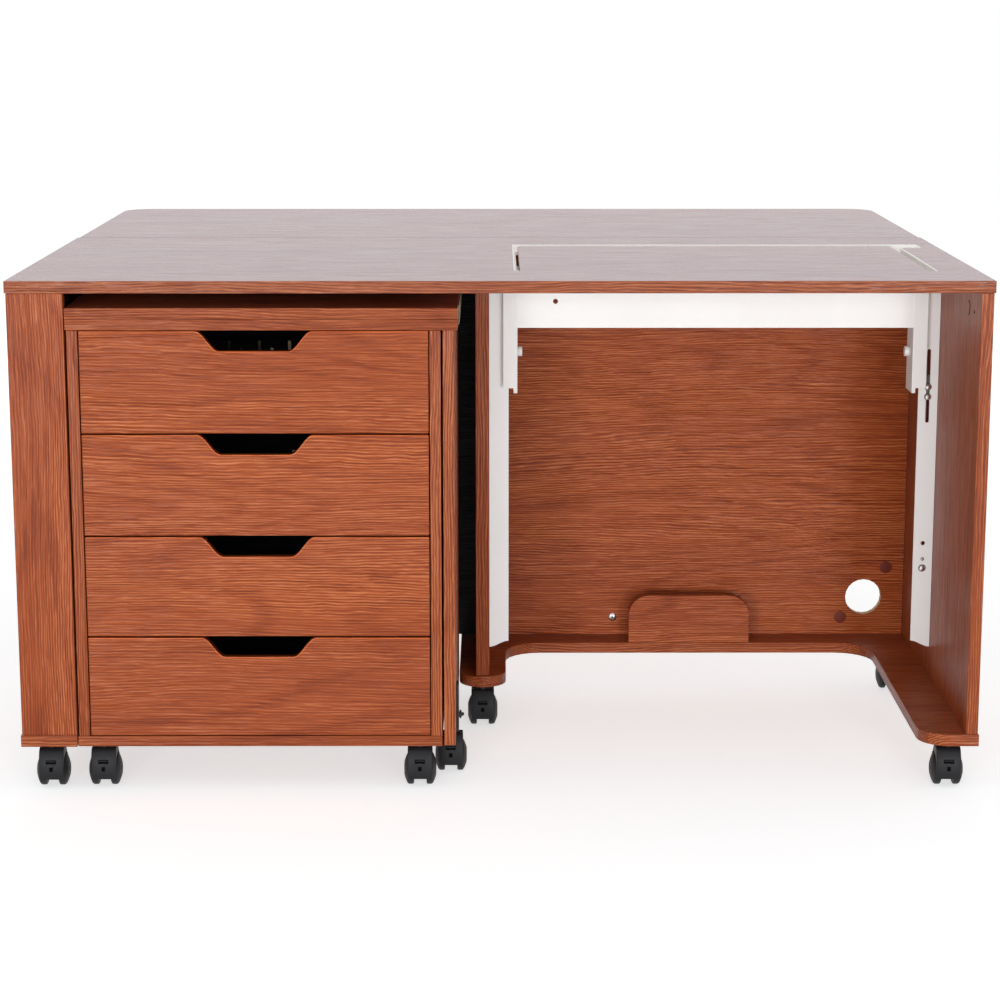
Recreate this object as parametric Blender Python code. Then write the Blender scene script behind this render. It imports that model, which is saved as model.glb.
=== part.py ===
"""Fold-away sewing cabinet: worktop with a machine lift, a rear drop leaf and a roll-out drawer caddy.

Metres, +Z up. The origin is on the floor under the middle of the opened table, +X runs to the
sitter's right and +Y to the back. "back" means a distance behind the worktop's front edge.
"""

import math

import bmesh
import bpy
from mathutils import Matrix, Vector

# Clearances
SEAM = 0.0003            # between pieces that touch
SLIDE_GAP = 0.0005       # between pieces that slide on each other
PIVOT_GAP = 0.0003       # round a pin

# Worktop and drop leaf
TOP_WIDTH = 1.438
TOP_DEPTH = 0.667
TOP_THICK = 0.018
TOP_HEIGHT = 0.768
LEAF_DEPTH = 0.583
LEAF_SEAM = 0.001
LEAF_INSET = 0.003
LEAF_CORNER = 0.050
SIDE_OVERHANG = 0.002
REAR_OVERHANG = 0.043

# Boards of the cabinet
PANEL_THICK = 0.018
BACK_THICK = 0.016
DIVIDER_THICK = 0.0215
DIVIDER_SETBACK = 0.335
STILE_WIDTH = 0.0825
FRONT_RELIEF = 0.001
BASE_THICK = 0.018
BASE_LIP = 0.002
FOOT_WIDTH = 0.0875
FOOT_NOSE = 0.045
REAR_STRIP = 0.077
FILLET = 0.060
MIDDLE_FOOT = 0.076
MIDDLE_FOOT_TIP = 0.330

# Cable hole and rear stop
CABLE_HOLE = 0.062
CABLE_HOLE_SIDE = 0.069
CABLE_HOLE_RISE = 0.0665
STOP_WIDTH = 0.206
STOP_HEIGHT = 0.0825
STOP_THICK = 0.016
STOP_CORNER = 0.034
STOP_SIDE = 0.272

# Machine opening, its trim and the lift
OPENING_FRONT = 0.134
OPENING_DEPTH = 0.411
OPENING_LEFT = 0.038
OPENING_RIGHT = 0.041
NOTCH_WIDTH = 0.033
NOTCH_DEPTH = 0.057
TRIM_WALL = 0.0015
TRIM_LEDGE = 0.005
TRIM_REAR_LEDGE = 0.020
TRIM_DROP = 0.001
TRIM_HEIGHT = 0.011
PLATFORM_LEFT = 0.009
PLATFORM_RIGHT = 0.014
PLATFORM_FRONT = 0.001
PLATFORM_REAR = 0.027
PLATFORM_THICK = 0.018
SHEET = 0.002
RAIL_WIDTH = 0.031
RAIL_DEPTH = 0.058
RAIL_LIP = 0.008
RAIL_SETBACK = 0.336
RAIL_RISE = 0.049
RAIL_WAVE = 0.010
RAIL_SLOT_TOP = 0.146
RAIL_SLOT_LENGTH = 0.119
RAIL_SLOT_WIDTH = 0.006
RAIL_SLOT_SIDE = 0.016
RAIL_HOLE = 0.007
RAIL_HOLE_DROP = 0.462
CARRIAGE_AHEAD = 0.016
BRACKET_SIDE = 0.0225
BRACKET_WIDTH = 0.0225
BRACKET_DEPTH = 0.057
BRACKET_DROP = 0.2065
BRACKET_TAB = 0.008
BRACKET_TAB_WIDTH = 0.006
BRACKET_PROUD = 0.0006
APRON_DROP = 0.110
APRON_LIP = 0.014
APRON_HOLE = 0.008
APRON_HOLE_SIDE = 0.060
APRON_HOLE_DROP = 0.068
DECK = 0.003
DECK_DEPTH = 0.055
WELD_STEP = 0.0004
ARM_WIDTH = 0.030
ARM_LENGTH = 0.340
ARM_SIDE = 0.070
GUIDE_HEIGHT = 0.080
GUIDE_DROP = 0.152
STUD = 0.008
STUD_CAP = 0.016
STUD_PROUD = 0.008
STUD_BACK = 0.034

# Gas spring of the lift
GAS_TUBE = 0.015
GAS_TUBE_LENGTH = 0.300
GAS_BORE_END = 0.010
GAS_ROD = 0.006
GAS_ROD_IN = 0.030
GAS_EAR_DROP = 0.045
GAS_EAR = 0.016
GAS_BEHIND = 0.012
GAS_SIDE = 0.0095
GAS_FOOT = 0.004
GAS_FOOT_RISE = 0.016
GAS_FOOT_FLANGE = 0.030

# Folding stays of the leaf
STAY_SIDE = 0.450
STAY_WIDTH = 0.026
STAY_SHEET = 0.003
STAY_PIVOT_DROP = 0.012
STAY_ARM_LENGTH = 0.300
STAY_ARM_PIVOT = 0.240
STAY_RIB = 0.004
STAY_RIB_DROP = 0.008
STAY_STRUT = 0.006
STAY_STRUT_WIDTH = 0.016
STAY_STRUT_DROP = 0.264
STAY_CHANNEL = 0.020
STAY_CHANNEL_GAP = 0.0015
STAY_REACH = 0.022
STAY_PIN = 0.006
STAY_RAIL_END = 0.030

# Casters
CASTER_HEIGHT = 0.067
WHEEL_RADIUS = 0.0245
WHEEL_INNER = 0.0090
WHEEL_TREAD = 0.0190
WHEEL_OUTER = 0.0242
WHEEL_HUB = 0.0110
WHEEL_CHAMFER = 0.0015
WHEEL_SHOULDER = 0.0025
AXLE = 0.006
TRAIL = 0.010
HOOD_HALF = 0.0185
HOOD_SHELL = 0.002
HOOD_GAP = 0.0008
HOOD_TOP = 0.005
HOOD_FLAT_FRONT = 0.003
HOOD_FLAT_REAR = 0.0145
HOOD_FRONT_ANGLE = 202.0
HOOD_REAR_ANGLE = 12.0
HOOD_CROWN_REAR = 55.0
WEB_INSET = 3.0
HUB = 0.010
STEM = 0.011
CASTER_SIDE = 0.043
CASTER_FRONT = 0.020
REAR_CASTER_SIDE = 0.044
CASTER_REAR = 0.066
MIDDLE_CASTER = 0.012

# Drawer caddy
CADDY_GAP = 0.003
CADDY_WIDTH = 0.5445
CADDY_DEPTH = 0.500
CADDY_FRONT = 0.003
CADDY_BOARD = 0.016
CADDY_LIP = 0.002
CADDY_CLEARANCE = 0.022
CADDY_CASTER_SIDE = 0.034
CADDY_CASTER_FRONT = 0.019
CADDY_CASTER_REAR = 0.048
GATE_GAP = 0.003
GATE_THICK = 0.017
GATE_DEPTH = 0.405
GATE_SETBACK = 0.004
GATE_TOP_LIP = 0.005
GATE_CASTER_BACK = 0.070
GATE_HINGE_LEAF = 0.060
FLIP_HINGE_PLATE = 0.0015
FLIP_HINGE_LENGTH = 0.400
BAY_GAP = 0.0235
DRAWERS = 4
DRAWER_SIDE_GAP = 0.0017
DRAWER_GAP = 0.0024
DRAWER_BOX_SIDE_GAP = 0.002
DRAWER_BOX_WALL = 0.012
DRAWER_BOX_FLOOR = 0.006
DRAWER_BOX_HEIGHT = 0.095
DRAWER_BOX_DEPTH = 0.450
RUNNER_WIDTH = 0.012
RUNNER_HEIGHT = 0.008
RUNNER_FRONT = 0.020
PULL_WIDTH = 0.171
PULL_FLOOR = 0.100
PULL_DEPTH = 0.0295

# Facets of round shapes
ROUND = 20
ARC_STEPS = 6

# Places that follow from the sizes above
FRONT_Y = -(TOP_DEPTH + LEAF_SEAM + LEAF_DEPTH) / 2
HALF = TOP_WIDTH / 2
UNDERSIDE = TOP_HEIGHT - TOP_THICK
BASE_TOP = CASTER_HEIGHT + BASE_THICK
RAIL_FOOT = BASE_TOP + RAIL_RISE
BACK_REAR = TOP_DEPTH - REAR_OVERHANG
BACK_FRONT = BACK_REAR - BACK_THICK
RIGHT_OUT = HALF - SIDE_OVERHANG
RIGHT_IN = RIGHT_OUT - PANEL_THICK
LEFT_OUT = -HALF + SIDE_OVERHANG
STILE_EDGE = LEFT_OUT + STILE_WIDTH
CADDY_LEFT = STILE_EDGE + CADDY_GAP
CADDY_RIGHT = CADDY_LEFT + CADDY_WIDTH
GATE_LEFT = CADDY_RIGHT + GATE_GAP
GATE_RIGHT = GATE_LEFT + GATE_THICK
CADDY_TOP_RIGHT = GATE_RIGHT + GATE_TOP_LIP
DIVIDER_LEFT = CADDY_TOP_RIGHT + BAY_GAP
DIVIDER_RIGHT = DIVIDER_LEFT + DIVIDER_THICK
OPEN_LEFT = DIVIDER_RIGHT + OPENING_LEFT
OPEN_RIGHT = RIGHT_IN - OPENING_RIGHT
OPEN_REAR = OPENING_FRONT + OPENING_DEPTH
DECK_LEFT = OPEN_LEFT + PLATFORM_LEFT
DECK_RIGHT = OPEN_RIGHT - PLATFORM_RIGHT
DECK_FRONT = OPENING_FRONT + PLATFORM_FRONT
PLATFORM_DEPTH = OPENING_DEPTH - PLATFORM_FRONT - PLATFORM_REAR
DECK_UNDER = TOP_HEIGHT - SEAM - PLATFORM_THICK
HINGE_BACK = TOP_DEPTH + LEAF_SEAM / 2
HINGE_HEIGHT = UNDERSIDE - STAY_PIVOT_DROP


def y_at(back):
    """The Y of a point this far behind the worktop's front edge."""
    return FRONT_Y + back


def clear_scene():
    for found in list(bpy.data.objects):
        bpy.data.objects.remove(found, do_unlink=True)


def finish(name, colour, roughness, metallic=0.0):
    """A plain Principled material."""
    made = bpy.data.materials.new(name)
    made.use_nodes = True
    shader = made.node_tree.nodes["Principled BSDF"]
    shader.inputs["Base Color"].default_value = (*colour, 1.0)
    shader.inputs["Roughness"].default_value = roughness
    shader.inputs["Metallic"].default_value = metallic
    return made


def block(low, high):
    """A box between two corners."""
    bm = bmesh.new()
    size = [b - a for a, b in zip(low, high)]
    middle = Vector([(a + b) / 2 for a, b in zip(low, high)])
    bmesh.ops.create_cube(bm, size=1, matrix=Matrix.Translation(middle) @ Matrix.Diagonal((*size, 1)))
    return bm


def prism(points, along):
    """The closed outline through these points, extruded by a vector."""
    bm = bmesh.new()
    face = bm.faces.new([bm.verts.new(p) for p in points])
    grown = bmesh.ops.extrude_face_region(bm, geom=[face])["geom"]
    moved = [g for g in grown if isinstance(g, bmesh.types.BMVert)]
    bmesh.ops.translate(bm, vec=along, verts=moved)
    bmesh.ops.recalc_face_normals(bm, faces=bm.faces)
    return bm


def prism_x(outline, low, high):
    return prism([(low, y, z) for y, z in outline], (high - low, 0, 0))


def prism_y(outline, low, high):
    return prism([(x, low, z) for x, z in outline], (0, high - low, 0))


def prism_z(outline, low, high):
    return prism([(x, y, low) for x, y in outline], (0, 0, high - low))


def arc(middle, radius, start, end, steps=ARC_STEPS):
    """Points from one angle to another, in degrees, both ends included."""
    angles = [math.radians(start + (end - start) * k / steps) for k in range(steps + 1)]
    return [(middle[0] + radius * math.cos(a), middle[1] + radius * math.sin(a)) for a in angles]


def rod(start, end, radius):
    """A round bar between two points."""
    start = Vector(start)
    run = Vector(end) - start
    turn = run.to_track_quat("Z", "Y").to_matrix().to_4x4()
    bm = bmesh.new()
    place = Matrix.Translation(start + run / 2) @ turn
    bmesh.ops.create_cone(
        bm, cap_ends=True, segments=ROUND, radius1=radius, radius2=radius, depth=run.length, matrix=place
    )
    return bm


def turned_on_x(profile):
    """A profile of (along X, radius) points, from axis to axis, spun round the X axis."""
    bm = bmesh.new()
    verts = [bm.verts.new((x, 0, r)) for x, r in profile]
    edges = [bm.edges.new(pair) for pair in zip(verts, verts[1:])]
    bmesh.ops.spin(
        bm, geom=verts + edges, cent=(0, 0, 0), axis=(1, 0, 0), angle=math.tau, steps=ROUND, use_merge=True
    )
    bmesh.ops.remove_doubles(bm, verts=bm.verts, dist=1e-6)
    bmesh.ops.recalc_face_normals(bm, faces=bm.faces)
    return bm


def world_of(obj):
    """Where an unturned object's origin lies in the world."""
    place = Vector()
    while obj:
        place += obj.location
        obj = obj.parent
    return place


def pivot(name, place, parent=None):
    """An empty on a joint's axis, which its moving pieces hang on."""
    made = bpy.data.objects.new(name, None)
    made.location = Vector(place) - world_of(parent)
    made.parent = parent
    bpy.context.scene.collection.objects.link(made)
    return made


def link(name, mesh, parent, place):
    made = bpy.data.objects.new(name, mesh)
    made.parent = parent
    made.location = Vector(place) - world_of(parent)
    bpy.context.scene.collection.objects.link(made)
    return made


def piece(name, bm, material, parent=None):
    """A named sub-part, with its origin on its parent's."""
    place = world_of(parent)
    bm.transform(Matrix.Translation(-place))
    mesh = bpy.data.meshes.new(name)
    bm.to_mesh(mesh)
    bm.free()
    mesh.materials.append(material)
    return link(name, mesh, parent, place)


def combine(obj, bm, operation):
    """Joins a shape to a piece, or cuts it out, with a Boolean."""
    mesh = bpy.data.meshes.new(obj.name + "_tool")
    bm.to_mesh(mesh)
    bm.free()
    tool = link(obj.name + "_tool", mesh, None, (0, 0, 0))
    tool.hide_render = True
    tool.display_type = "WIRE"
    change = obj.modifiers.new(operation.title(), "BOOLEAN")
    change.operation = operation
    change.solver = "EXACT"
    change.object = tool


def add_to(obj, *shapes):
    for bm in shapes:
        combine(obj, bm, "UNION")


def cut_from(obj, *shapes):
    for bm in shapes:
        combine(obj, bm, "DIFFERENCE")


def baked_mesh(obj):
    """The piece's mesh with its modifiers applied; the piece and its tools are removed."""
    bpy.context.view_layer.update()
    mesh = bpy.data.meshes.new_from_object(obj.evaluated_get(bpy.context.evaluated_depsgraph_get()))
    for change in obj.modifiers:
        bpy.data.objects.remove(change.object, do_unlink=True)
    bpy.data.objects.remove(obj, do_unlink=True)
    return mesh


# Cabinet


def opening_outline(inset=0.0):
    """The machine opening with its cord notch, seen from above, shrunk by an inset."""
    left = OPEN_LEFT + inset
    right = OPEN_RIGHT - inset
    rear = y_at(OPEN_REAR - inset)
    notch = y_at(OPEN_REAR - NOTCH_DEPTH + inset)
    notch_right = right + NOTCH_WIDTH
    return left, right, y_at(OPENING_FRONT), notch, notch_right, rear


def make_worktop(wood):
    top = piece("worktop", block((-HALF, y_at(0), UNDERSIDE), (HALF, y_at(TOP_DEPTH), TOP_HEIGHT)), wood)
    left, right, front, notch, notch_right, rear = opening_outline()
    outline = [
        (left, front), (right, front), (right, notch), (notch_right, notch), (notch_right, rear), (left, rear),
    ]
    cut_from(top, prism_z(outline, UNDERSIDE - TOP_THICK, TOP_HEIGHT + TOP_THICK))


def make_trim(plastic):
    """The ledged strip that lines the opening's left, rear and right edges."""
    left, right, front, notch, notch_right, rear = opening_outline(SEAM)
    high = TOP_HEIGHT - TRIM_DROP
    low = high - TRIM_HEIGHT
    ledge = low + TRIM_WALL
    front = front + SEAM
    wall = TRIM_WALL
    outer = [
        (left, front), (left + wall, front), (left + wall, rear - wall), (notch_right - wall, rear - wall),
        (notch_right - wall, notch + wall), (right - wall, notch + wall), (right - wall, front),
        (right, front), (right, notch), (notch_right, notch), (notch_right, rear), (left, rear),
    ]
    trim = piece("opening_trim", prism_z(outer, low, high), plastic)
    inner_left = left + TRIM_LEDGE
    inner_right = right - TRIM_LEDGE
    inner_rear = rear - TRIM_REAR_LEDGE
    shelf = [
        (left, front), (inner_left, front), (inner_left, inner_rear), (inner_right, inner_rear),
        (inner_right, front), (right, front), (right, notch), (notch_right, notch), (notch_right, rear),
        (left, rear),
    ]
    add_to(trim, prism_z(shelf, low, ledge))


def make_panels(wood):
    low = BASE_TOP + SEAM
    high = UNDERSIDE - SEAM
    front = y_at(FRONT_RELIEF)
    rear = y_at(BACK_REAR)
    piece("right_side_panel", block((RIGHT_IN, front, low), (RIGHT_OUT, rear, high)), wood)
    stile_rear = y_at(FRONT_RELIEF + PANEL_THICK)
    piece("left_front_stile", block((LEFT_OUT, front, low), (STILE_EDGE, stile_rear, high)), wood)
    left_in = LEFT_OUT + PANEL_THICK
    piece("left_side_panel", block((LEFT_OUT, stile_rear + SEAM, low), (left_in, rear, high)), wood)
    divider_rear = y_at(BACK_FRONT) - SEAM
    divider = block((DIVIDER_LEFT, y_at(DIVIDER_SETBACK), low), (DIVIDER_RIGHT, divider_rear, high))
    piece("divider_panel", divider, wood)
    back_board = block((left_in + SEAM, y_at(BACK_FRONT), low), (RIGHT_IN - SEAM, rear, high))
    back = piece("back_panel", back_board, wood)
    hole_x = RIGHT_IN - CABLE_HOLE_SIDE
    hole_z = BASE_TOP + CABLE_HOLE_RISE
    hole_run = (y_at(BACK_FRONT - BACK_THICK), y_at(BACK_REAR + BACK_THICK))
    cut_from(back, rod((hole_x, hole_run[0], hole_z), (hole_x, hole_run[1], hole_z), CABLE_HOLE / 2))


def make_base(wood):
    """The floor plates: one round the knee space, one under the left end."""
    front = y_at(0)
    rear = y_at(BACK_REAR + BASE_LIP)
    strip = y_at(BACK_REAR + BASE_LIP - REAR_STRIP)
    inner = HALF - FOOT_WIDTH
    middle = (DIVIDER_LEFT + DIVIDER_RIGHT) / 2
    tip_radius = MIDDLE_FOOT / 2
    tip = (middle, y_at(MIDDLE_FOOT_TIP) + tip_radius)
    foot_right = middle + tip_radius
    outline = [(HALF, front), (HALF, rear), (middle - tip_radius, rear)]
    outline += arc(tip, tip_radius, 180, 360, 2 * ARC_STEPS)
    outline += arc((foot_right + FILLET, strip - FILLET), FILLET, 180, 90)
    outline += arc((inner - FILLET, strip - FILLET), FILLET, 90, 0)
    outline += arc((inner + FOOT_NOSE, front + FOOT_NOSE), FOOT_NOSE, 180, 270)
    piece("base_frame", prism_z(outline, CASTER_HEIGHT, BASE_TOP), wood)
    left_foot = block((-HALF, front, CASTER_HEIGHT), (STILE_EDGE, rear, BASE_TOP))
    piece("left_foot_plate", left_foot, wood)
    stop_right = RIGHT_IN - STOP_SIDE
    stop_left = stop_right - STOP_WIDTH
    low = BASE_TOP + SEAM
    high = low + STOP_HEIGHT
    stop = [(stop_left, low), (stop_right, low)]
    stop += arc((stop_right - STOP_CORNER, high - STOP_CORNER), STOP_CORNER, 0, 90)
    stop += arc((stop_left + STOP_CORNER, high - STOP_CORNER), STOP_CORNER, 90, 180)
    piece("rear_stop_panel", prism_y(stop, strip + SEAM, strip + STOP_THICK), wood)


# Machine lift


def lift_sides():
    """For each side of the bay: its name, the panel face and the direction towards the middle."""
    return (("left", DIVIDER_RIGHT, 1), ("right", RIGHT_IN, -1))


def wave_waste(near, side, low):
    """The sheet below the waved foot of a rail's front flange, as X and Z points."""
    steps = 2 * ARC_STEPS
    run = [k / steps for k in range(1, steps + 1)]
    wave = [(near + side * RAIL_WIDTH * t, low + RAIL_WAVE * (1 - math.cos(math.pi * t)) / 2) for t in run]
    return [(wave[0][0], low - RAIL_WAVE), *wave, (wave[-1][0] + side * SHEET, wave[-1][1]),
            (wave[-1][0] + side * SHEET, low - RAIL_WAVE)]


def slot_outline(x, high, low, width):
    """A slot with round ends, upright, as X and Z points."""
    half = width / 2
    return arc((x, high - half), half, 0, 180) + arc((x, low + half), half, 180, 360)


def make_rails(paint):
    """Two channels, open to the middle of the bay, each with a waved foot on its front flange."""
    low = RAIL_FOOT
    front = y_at(RAIL_SETBACK)
    rear = front + RAIL_DEPTH
    through = (front - SHEET, front + 2 * SHEET)
    for name, face, side in lift_sides():
        near = face + side * SEAM
        web = near + side * SHEET
        far = near + side * RAIL_WIDTH
        lip = near + side * RAIL_LIP
        outline = [
            (near, front), (far, front), (far, front + SHEET), (web, front + SHEET),
            (web, rear - SHEET), (lip, rear - SHEET), (lip, rear), (near, rear),
        ]
        rail = piece("lift_rail_" + name, prism_z(outline, low, UNDERSIDE - SEAM), paint)
        cut_from(rail, prism_y(wave_waste(near, side, low), *through))
        if name == "right":
            slot_x = face + side * RAIL_SLOT_SIDE
            slot_high = TOP_HEIGHT - RAIL_SLOT_TOP
            slot = slot_outline(slot_x, slot_high, slot_high - RAIL_SLOT_LENGTH, RAIL_SLOT_WIDTH)
            hole_z = TOP_HEIGHT - RAIL_HOLE_DROP
            hole = rod((slot_x, through[0], hole_z), (slot_x, through[1], hole_z), RAIL_HOLE / 2)
            cut_from(rail, prism_y(slot, *through), hole)


def make_carriage(lift, paint):
    """The welded sheet frame that carries the platform between the two rails."""
    front = y_at(RAIL_SETBACK - CARRIAGE_AHEAD)
    deck_top = DECK_UNDER - SEAM
    deck_low = deck_top - DECK
    foot = TOP_HEIGHT - APRON_DROP
    reach = BRACKET_SIDE + BRACKET_WIDTH
    left = DIVIDER_RIGHT + reach
    right = RIGHT_IN - reach
    profile = [
        (front, foot), (front + APRON_LIP, foot), (front + APRON_LIP, foot + SHEET),
        (front + SHEET, foot + SHEET), (front + SHEET, deck_low), (front + DECK_DEPTH, deck_low),
        (front + DECK_DEPTH, deck_top), (front, deck_top),
    ]
    carriage = piece("lift_carriage", prism_x(profile, left - SHEET, right + SHEET), paint, lift)
    hole_x = left + APRON_HOLE_SIDE
    hole_z = TOP_HEIGHT - APRON_HOLE_DROP
    hole_end = (hole_x, front + 2 * SHEET, hole_z)
    cut_from(carriage, rod((hole_x, front - SHEET, hole_z), hole_end, APRON_HOLE / 2))
    bracket_front = front - BRACKET_PROUD
    tab_low = TOP_HEIGHT - BRACKET_DROP - BRACKET_TAB
    bracket_top = deck_top - WELD_STEP
    stud_y, stud_z = stud_place()
    for name, face, side in lift_sides():
        outer = face + side * BRACKET_SIDE
        inner = face + side * reach
        angle = [
            (outer, bracket_front), (inner, bracket_front), (inner, bracket_front + BRACKET_DEPTH),
            (inner - side * SHEET, bracket_front + BRACKET_DEPTH),
            (inner - side * SHEET, bracket_front + SHEET), (outer, bracket_front + SHEET),
        ]
        step_left, step_right = sorted((outer - side * SHEET, inner - side * BRACKET_TAB_WIDTH))
        step = block(
            (step_left, bracket_front - SHEET, tab_low - SHEET),
            (step_right, bracket_front + 2 * SHEET, tab_low + BRACKET_TAB),
        )
        add_to(carriage, prism_z(angle, tab_low, bracket_top))
        cut_from(carriage, step)
        hole_start = (inner - side * 2 * SHEET, stud_y, stud_z)
        cut_from(carriage, rod(hole_start, (inner + side * SHEET, stud_y, stud_z), STUD / 2 + PIVOT_GAP))
    arm_mid = y_at(DECK_FRONT + PLATFORM_DEPTH / 2)
    arm_lefts = (DECK_LEFT + ARM_SIDE, DECK_RIGHT - ARM_SIDE - ARM_WIDTH)
    for arm_left in arm_lefts:
        low = (arm_left, arm_mid - ARM_LENGTH / 2, deck_low - WELD_STEP)
        high = (arm_left + ARM_WIDTH, arm_mid + ARM_LENGTH / 2, deck_top - WELD_STEP)
        add_to(carriage, block(low, high))
    gas_x, gas_y = gas_place()
    inner = RIGHT_IN - reach
    ear_top = TOP_HEIGHT - GAS_EAR_DROP
    ear_end = gas_x + GAS_TUBE / 2
    ear = [
        (inner - GAS_EAR, gas_y - GAS_EAR - RAIL_DEPTH),
        (inner + SHEET - WELD_STEP, gas_y - GAS_EAR - RAIL_DEPTH),
        (inner + SHEET - WELD_STEP, gas_y - GAS_EAR), (ear_end, gas_y - GAS_EAR),
        (ear_end, gas_y + GAS_EAR), (inner - GAS_EAR, gas_y + GAS_EAR),
    ]
    add_to(carriage, prism_z(ear, ear_top - DECK, ear_top))


def stud_place():
    """Y and Z of the stud that fixes each guide to its bracket."""
    return y_at(RAIL_SETBACK - CARRIAGE_AHEAD + STUD_BACK), TOP_HEIGHT - GUIDE_DROP


def make_guides(lift, plastic):
    """Sliding blocks in the rails, each held to the carriage by a stud with a round cap."""
    front = y_at(RAIL_SETBACK + SHEET + SLIDE_GAP)
    rear = y_at(RAIL_SETBACK + RAIL_DEPTH - SHEET - SLIDE_GAP)
    stud_y, stud_z = stud_place()
    for name, face, side in lift_sides():
        inner = face + side * (BRACKET_SIDE + BRACKET_WIDTH)
        near = face + side * (SEAM + SHEET + SLIDE_GAP)
        far = inner - side * (SHEET + SEAM)
        low_x, high_x = sorted((near, far))
        low = (low_x, front, stud_z - GUIDE_HEIGHT / 2)
        high = (high_x, rear, stud_z + GUIDE_HEIGHT / 2)
        guide = piece("lift_guide_" + name, block(low, high), plastic, lift)
        stud = rod((far - side * SHEET, stud_y, stud_z), (inner + side * SHEET, stud_y, stud_z), STUD / 2)
        cap_start = (inner + side * SEAM, stud_y, stud_z)
        cap = rod(cap_start, (inner + side * STUD_PROUD, stud_y, stud_z), STUD_CAP / 2)
        add_to(guide, stud, cap)


def gas_place():
    """X and Y of the gas spring's axis, behind the right rail."""
    return RIGHT_IN - GAS_SIDE, y_at(RAIL_SETBACK + RAIL_DEPTH + GAS_BEHIND + GAS_TUBE / 2)


def make_gas_spring(lift, steel, chrome):
    """The tube hangs on the carriage; the rod stands on a foot screwed to the right panel."""
    x, y = gas_place()
    tube_top = TOP_HEIGHT - GAS_EAR_DROP - DECK - SEAM
    tube_low = tube_top - GAS_TUBE_LENGTH
    tube = piece("gas_cylinder", rod((x, y, tube_low), (x, y, tube_top), GAS_TUBE / 2), steel, lift)
    bore = rod((x, y, tube_low - GAS_TUBE), (x, y, tube_top - GAS_BORE_END), GAS_ROD / 2 + SLIDE_GAP)
    cut_from(tube, bore)
    foot_top = RAIL_FOOT + GAS_FOOT_RISE
    wall = RIGHT_IN - SEAM
    foot = [
        (x - GAS_TUBE / 2, foot_top - GAS_FOOT), (wall - GAS_FOOT, foot_top - GAS_FOOT),
        (wall - GAS_FOOT, foot_top - GAS_FOOT_FLANGE), (wall, foot_top - GAS_FOOT_FLANGE), (wall, foot_top),
        (x - GAS_TUBE / 2, foot_top),
    ]
    stand = piece("gas_rod", prism_y(foot, y - GAS_TUBE / 2, y + GAS_TUBE / 2), chrome)
    add_to(stand, rod((x, y, foot_top - GAS_FOOT / 2), (x, y, tube_low + GAS_ROD_IN), GAS_ROD / 2))


def make_lift(wood, paint, plastic, steel, chrome):
    make_rails(paint)
    lift = pivot("lift", ((DECK_LEFT + DECK_RIGHT) / 2, y_at(DECK_FRONT + PLATFORM_DEPTH / 2), TOP_HEIGHT))
    low = (DECK_LEFT, y_at(DECK_FRONT), DECK_UNDER)
    high = (DECK_RIGHT, y_at(DECK_FRONT + PLATFORM_DEPTH), DECK_UNDER + PLATFORM_THICK)
    piece("lift_platform", block(low, high), wood, lift)
    make_carriage(lift, paint)
    make_guides(lift, plastic)
    make_gas_spring(lift, steel, chrome)


# Drop leaf and its folding stays


def make_leaf(wood, hinge):
    front = y_at(TOP_DEPTH + LEAF_SEAM)
    rear = front + LEAF_DEPTH
    half = HALF - LEAF_INSET
    outline = [(-half, front), (half, front)]
    outline += arc((half - LEAF_CORNER, rear - LEAF_CORNER), LEAF_CORNER, 0, 90)
    outline += arc((LEAF_CORNER - half, rear - LEAF_CORNER), LEAF_CORNER, 90, 180)
    piece("rear_leaf", prism_z(outline, UNDERSIDE, TOP_HEIGHT), wood, hinge)


def stay_points():
    """Y and Z of the leaf's axis, the strut's upper pivot and its foot in the rail."""
    axis = (y_at(HINGE_BACK), HINGE_HEIGHT)
    upper = (axis[0] + STAY_ARM_PIVOT, axis[1])
    foot = (axis[0] - STAY_REACH, axis[1] - STAY_STRUT_DROP)
    return axis, upper, foot


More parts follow.
